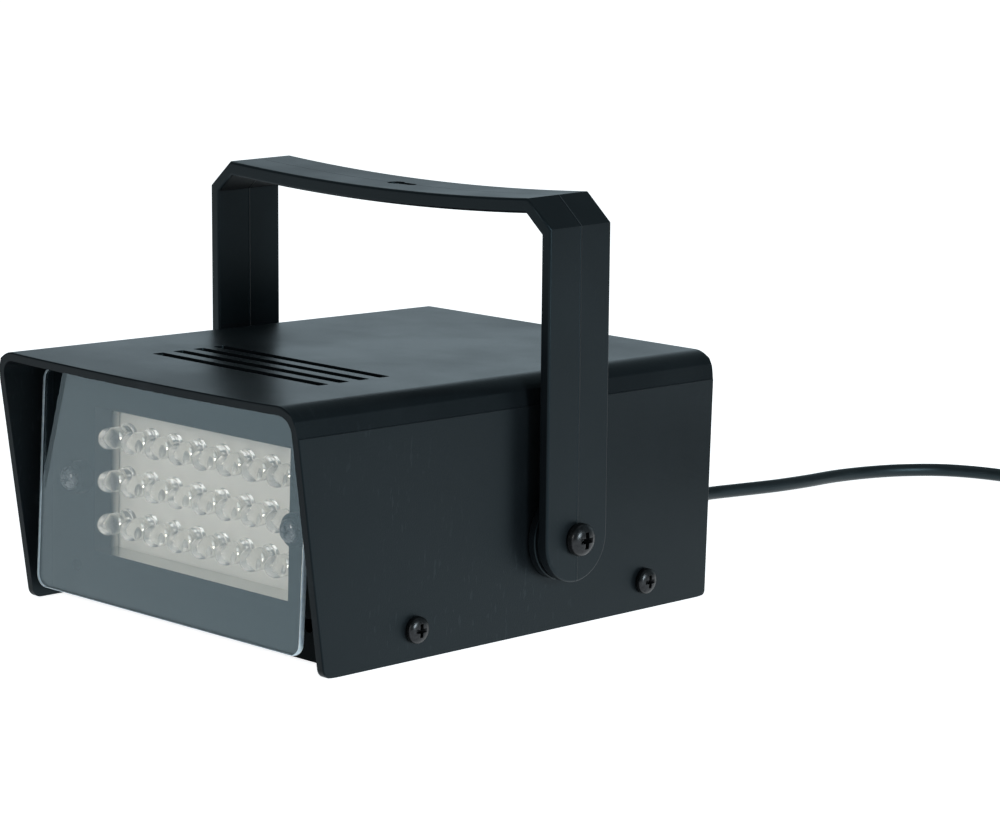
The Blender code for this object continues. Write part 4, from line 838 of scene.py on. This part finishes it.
lamp.data.materials.append(resin)
lamp.data.materials.append(tinned)
anvil, post = [
    block(name, (middle - lead_half, -lead_half, -lamp_standoff), (middle + lead_half, lead_half, top))
    for name, middle, top in (("anvil", -lead_offset, 1.4 * MM), ("post", lead_offset, 1.6 * MM))]
choose(anvil, "FACE", lambda f, m: f.normal.z > 0.5)
bpy.ops.mesh.extrude_region_move(TRANSFORM_OT_translate={"value": (0.9 * MM, 0, 0.9 * MM)})
bpy.ops.transform.resize(value=(2.8, 1.2, 1), center_override=(-0.37 * MM, 0, 2.3 * MM))
bpy.ops.mesh.extrude_region_move(TRANSFORM_OT_translate={"value": (0, 0, 0.4 * MM)})
leave()
choose(post, "FACE", lambda f, m: f.normal.z > 0.5)
bpy.ops.mesh.extrude_region_move(TRANSFORM_OT_translate={"value": (0.05 * MM, 0, 0.7 * MM)})
bpy.ops.transform.resize(value=(1.6, 1, 1), center_override=(lead_offset, 0, 2.3 * MM))
bpy.ops.mesh.extrude_region_move(TRANSFORM_OT_translate={"value": (0, 0, 0.5 * MM)})
leave()
cup = spun("cup", [
    (0, 2.95 * MM), (0.35 * MM, 2.95 * MM), (0.6 * MM, 3.3 * MM), (0.7 * MM, 3.3 * MM), (0.7 * MM, 2.6 * MM),
    (0, 2.6 * MM)], 16)
settle(cup, (-0.2 * MM, 0, 0))
for part in (anvil, post, cup):
    rounded(part, 0.05 * MM, 1)
    part.data.materials.append(tinned)
alone(lamp)
for part in (anvil, post, cup):
    part.select_set(True)
bpy.ops.object.join()
settle(lamp, (0, board_front - lamp_standoff, window_z), TO_FRONT)
shaded(lamp)
for row in range(lamp_rows):
    for column in range(lamp_columns):
        name = "%d_%d" % (row + 1, column + 1)
        one = bpy.data.objects.new("lamp_" + name, lamp.data.copy())
        bpy.context.scene.collection.objects.link(one)
        x = (column - (lamp_columns - 1) / 2) * lamp_pitch_x
        z = -(row - (lamp_rows - 1) / 2) * lamp_pitch_z
        one.data.transform(Matrix.Translation((x, 0, z)))
        fitted(one, "housing", "led_resin", "led_" + name)
bpy.data.objects.remove(lamp, do_unlink=True)

# Inside and under: the tray that closes the case, the green driver board on its four posts, and the blue
# sleeved capacitor that feeds the flash. The CAD shapes stay and get their finishes here.


def refinish(node, finish):
    """Gives a CAD shape that stays its finish."""
    materials = frame["nodes"][node].data.materials
    materials.clear()
    materials.append(finish)


driver_mask, tree, shader = new_finish("green_solder_mask", Specular_IOR_Level=0.5)
spot = put(tree, "ShaderNodeTexCoord")
tracks = put(tree, "ShaderNodeTexBrick", {
    "Vector": spot.outputs["Object"], "Scale": 160.0, "Mortar Size": 0.03, "Color1": (0.01, 0.11, 0.045, 1),
    "Color2": (0.012, 0.15, 0.06, 1), "Mortar": (0.03, 0.24, 0.1, 1)}).outputs
feed(tree, shader, Base_Color=tracks["Color"], Roughness=ramp(tree, tracks["Fac"], 0.38, 0.28))
sleeve_film = moulding("capacitor_sleeve", (0.012, 0.03, 0.16), (0.05, 0.08, 0.25), 0.28, 800, 0.01 * MM, 90, 0.1, 0.5)
refinish("base_tray", inner_plastic)
refinish("driver_board", driver_mask)
refinish("capacitor", sleeve_film)

# The yoke: one flat band of black nylon, moulded in two halves, so a fine line runs down the middle of each leg.
# Its corners are chamfered, its bar sags a little and has a keyhole to hang it by, its feet are round.
yoke_inner = half + 3.2 * MM
yoke_outer = yoke_inner + 2.8 * MM
yoke_leg = 20.0 * MM
yoke_top = 76.9 * MM
bar_band = 3.4 * MM
bar_sag = 1.8 * MM
corner_x = 7.0 * MM
corner_z = 6.3 * MM
corner_shift = 0.56 * MM
edge_round = 0.6 * MM
keyhole_x = -2.1 * MM
keyhole_radius = 2.1 * MM
slot_half = 1.2 * MM
slot_end = 4.2 * MM
yoke_lean = math.radians(1.7)
bar_steps = 20
bar_half = yoke_outer - corner_x
under_half = bar_half - corner_shift
under_corner = yoke_top - bar_band - (yoke_inner - under_half) * corner_z / corner_x
foot = -yoke_leg / 2
line = [(yoke_outer, foot), (yoke_outer, yoke_top - corner_z)]
for step in range(bar_steps + 1):
    x = bar_half * (1 - 2 * step / bar_steps)
    line.append((x, yoke_top - bar_sag * (1 - (x / bar_half) ** 2)))
line += [(-yoke_outer, yoke_top - corner_z), (-yoke_outer, foot), (-yoke_inner, foot), (-yoke_inner, under_corner)]
for step in range(bar_steps + 1):
    x = -under_half * (1 - 2 * step / bar_steps)
    line.append((x, yoke_top - bar_band - bar_sag * (1 - (x / under_half) ** 2)))
line += [(yoke_inner, under_corner), (yoke_inner, foot)]
yoke = slab("yoke_band", [(x, -yoke_leg / 2, z) for x, z in line], (0, yoke_leg, 0))
bevel(yoke, lambda e, m: along(e, 0) and m.z < foot + 0.1 * MM and abs(m.y) > 5 * MM, yoke_leg / 2 - 0.02 * MM, 16)
rounded(yoke, edge_round, 3, 50)
drill(yoke, pivot_hole, (-2 * yoke_outer, 0, 0), (2 * yoke_outer, 0, 0))
drill(yoke, keyhole_radius, (keyhole_x, 0, yoke_top / 2), (keyhole_x, 0, 2 * yoke_top), 32)
slot = block("slot", (keyhole_x, -slot_half, yoke_top / 2), (slot_end, slot_half, 2 * yoke_top))
bevel(slot, lambda e, m: along(e, 2) and m.x > 0, slot_half - 0.1 * MM, 5)
cut(yoke, slot)
settle(yoke, pivot, (yoke_lean, 0, 0))
yoke_nylon = moulding("yoke_nylon", black, rubbed_black, 0.34, 1800, 0.015 * MM, 34, 0.35, gloss=0.22)
tree = yoke_nylon.node_tree
spot = put(tree, "ShaderNodeTexCoord")
upright = put(tree, "ShaderNodeMapping", {
    "Vector": spot.outputs["Object"], "Location": pivot, "Rotation": (yoke_lean, 0, 0)}, vector_type="TEXTURE")
across = put(tree, "ShaderNodeSeparateXYZ", {0: upright.outputs[0]}).outputs["Y"]
away = worked(tree, "ABSOLUTE", across)
seam = ramp(tree, away, 1.0, 0.0, 0.12 * MM, 0.3 * MM)
bump = next(node for node in tree.nodes if node.type == "BUMP")
line_bump = put(tree, "ShaderNodeBump", {"Height": seam, "Distance": 0.08 * MM, "Normal": bump.outputs[0]}).outputs[0]
feed(tree, tree.nodes["Principled BSDF"], Normal=line_bump)
shaded(yoke, yoke_nylon)
fitted(yoke, "yoke", "yoke_plastic", "yoke")

# The yoke's pivots: on each side a stepped plastic spacer lies against the hood, and a pan-head screw goes
# through the leg and the spacer into a steel nut inside the case.
spacer_length = yoke_inner - half - 0.6 * MM
spacer_radius = 9.2 * MM
flange_radius = 10.0 * MM
flange_thickness = 2.0 * MM
shank_end = half - hood_wall - 3.3 * MM
pivot_screw = (3.75 * MM, 2.9 * MM, 1.9 * MM, yoke_outer + 0.6 * MM - shank_end)
steel = varied("bright_steel", 1100.0, 3.0, ((0.45, 0.45, 0.44), (0.66, 0.66, 0.64)), (0.22, 0.42), Metallic=1.0)
for side, sign in SIDES:
    spacer = spun("pivot_spacer_" + side, [
        (pivot_hole, spacer_length), (spacer_radius - 0.2 * MM, spacer_length),
        (spacer_radius, spacer_length - 0.2 * MM), (spacer_radius, flange_thickness),
        (flange_radius - 0.2 * MM, flange_thickness), (flange_radius, flange_thickness - 0.2 * MM),
        (flange_radius, 0.15 * MM), (flange_radius - 0.15 * MM, 0), (pivot_hole, 0), (pivot_hole, spacer_length)], 48)
    settle(spacer, (sign * (half + 0.3 * MM), pivot.y, pivot.z), TO_SIDE[sign])
    shaded(spacer, case_plastic)
    fitted(spacer, "housing", "black_plastic", "yoke_spacer_" + side)
    screw("pivot_screw_" + side, pivot_screw, (sign * (yoke_outer + 0.3 * MM), pivot.y, pivot.z), TO_SIDE[sign],
          "yoke_screw_" + side)
    refinish("yoke_nut_" + side, steel)

# The back: a flat panel let in a little from the hood's edge, with the strain relief low on one side and the
# flash-speed knob on its steel control on the other. Short raised dashes mark the knob's travel.
panel_thickness = 2.0 * MM
control_hole = 3.8 * MM
relief_hole = 4.5 * MM
knob_place = Vector((18.0 * MM, panel_back, 30.0 * MM))
relief_place = Vector((cord_exit.x, panel_back, cord_exit.z))
through = Vector((0, 4 * MM, 0))
rear_panel = chassis_plate("back_panel", panel_back - panel_thickness, panel_back)
drill(rear_panel, control_hole, knob_place - through, knob_place + through, 32)
drill(rear_panel, relief_hole, relief_place - through, relief_place + through, 32)
rounded(rear_panel, 0.15 * MM, 2, 40)
shaded(rear_panel, case_plastic)
fitted(rear_panel, "housing", "black_plastic", "rear_panel")
refinish("potentiometer", steel)

knob_radius = 8.0 * MM
knob_length = 11.0 * MM
knob_flutes = 12
crown = 0.86 * knob_radius
pointer_half = 0.45 * MM
pointer_depth = 0.55 * MM
pointer_floor = knob_place.y + 0.3 * MM + knob_length - pointer_depth
knob = spun("speed_dial", [
    (0, knob_length - 0.25 * MM), (crown - 1.6 * MM, knob_length - 0.25 * MM), (crown - 1.2 * MM, knob_length),
    (crown - 0.7 * MM, knob_length), (crown - 0.15 * MM, knob_length - 0.3 * MM), (crown, knob_length - 0.9 * MM),
    (1.04 * crown, 2.0 * MM), (knob_radius - 0.3 * MM, 1.9 * MM), (knob_radius, 1.6 * MM), (knob_radius, 0.2 * MM),
    (knob_radius - 0.2 * MM, 0), (3.3 * MM, 0), (3.3 * MM, 8.0 * MM), (0, 8.0 * MM)], 72)
for index in range(knob_flutes):
    angle = math.radians(15 + 360 / knob_flutes * index)
    place = Vector((1.06 * crown * math.cos(angle), 1.06 * crown * math.sin(angle), 2.4 * MM))
    drill(knob, 0.95 * MM, place, place + Vector((0, 0, 12 * MM)), 16)
pointer = block("pointer", (-pointer_half, 2.2 * MM, knob_length - pointer_depth),
                (pointer_half, knob_radius, 12 * MM))
cut(knob, pointer)
rounded(knob, 0.12 * MM, 1, 50)
settle(knob, knob_place + Vector((0, 0.3 * MM, 0)), TO_REAR)
knob_plastic = moulding(
    "knob_plastic", (0.006, 0.007, 0.008), (0.018, 0.02, 0.022), 0.3, 2400, 0.02 * MM, 60, 0.15, gloss=0.4)
mark_paint = varied(
    "mark_paint", 1800.0, 3.0, ((0.55, 0.55, 0.53), (0.8, 0.8, 0.78)), (0.45, 0.65), Specular_IOR_Level=0.3)
shaded(knob, knob_plastic, mark_paint)
for face in knob.data.polygons:
    sunk = abs(face.center.y - pointer_floor) < 0.02 * MM and face.normal.y > 0.9
    if sunk and abs(face.center.x - knob_place.x) < 0.5 * MM:
        face.material_index = 1
fitted(knob, "knob", "knob_plastic", "speed_knob")

dial_steps = 11
dashes = []
for index in range(dial_steps):
    dash_end = (12.0 if index % 5 == 0 else 11.2) * MM
    dash = block("dash", (-0.25 * MM, 9.6 * MM, -0.1 * MM), (0.25 * MM, dash_end, 0.12 * MM))
    rounded(dash, 0.05 * MM, 1)
    settle(dash, (0, 0, 0), (0, 0, math.radians(150 - 30 * index)))
    dashes.append(dash)
alone(dashes[0])
for dash in dashes[1:]:
    dash.select_set(True)
bpy.ops.object.join()
dial_marks = bpy.context.object
dial_marks.name = "dial_marks"
settle(dial_marks, knob_place, TO_REAR)
shaded(dial_marks, mark_paint)
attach(dial_marks, "housing")
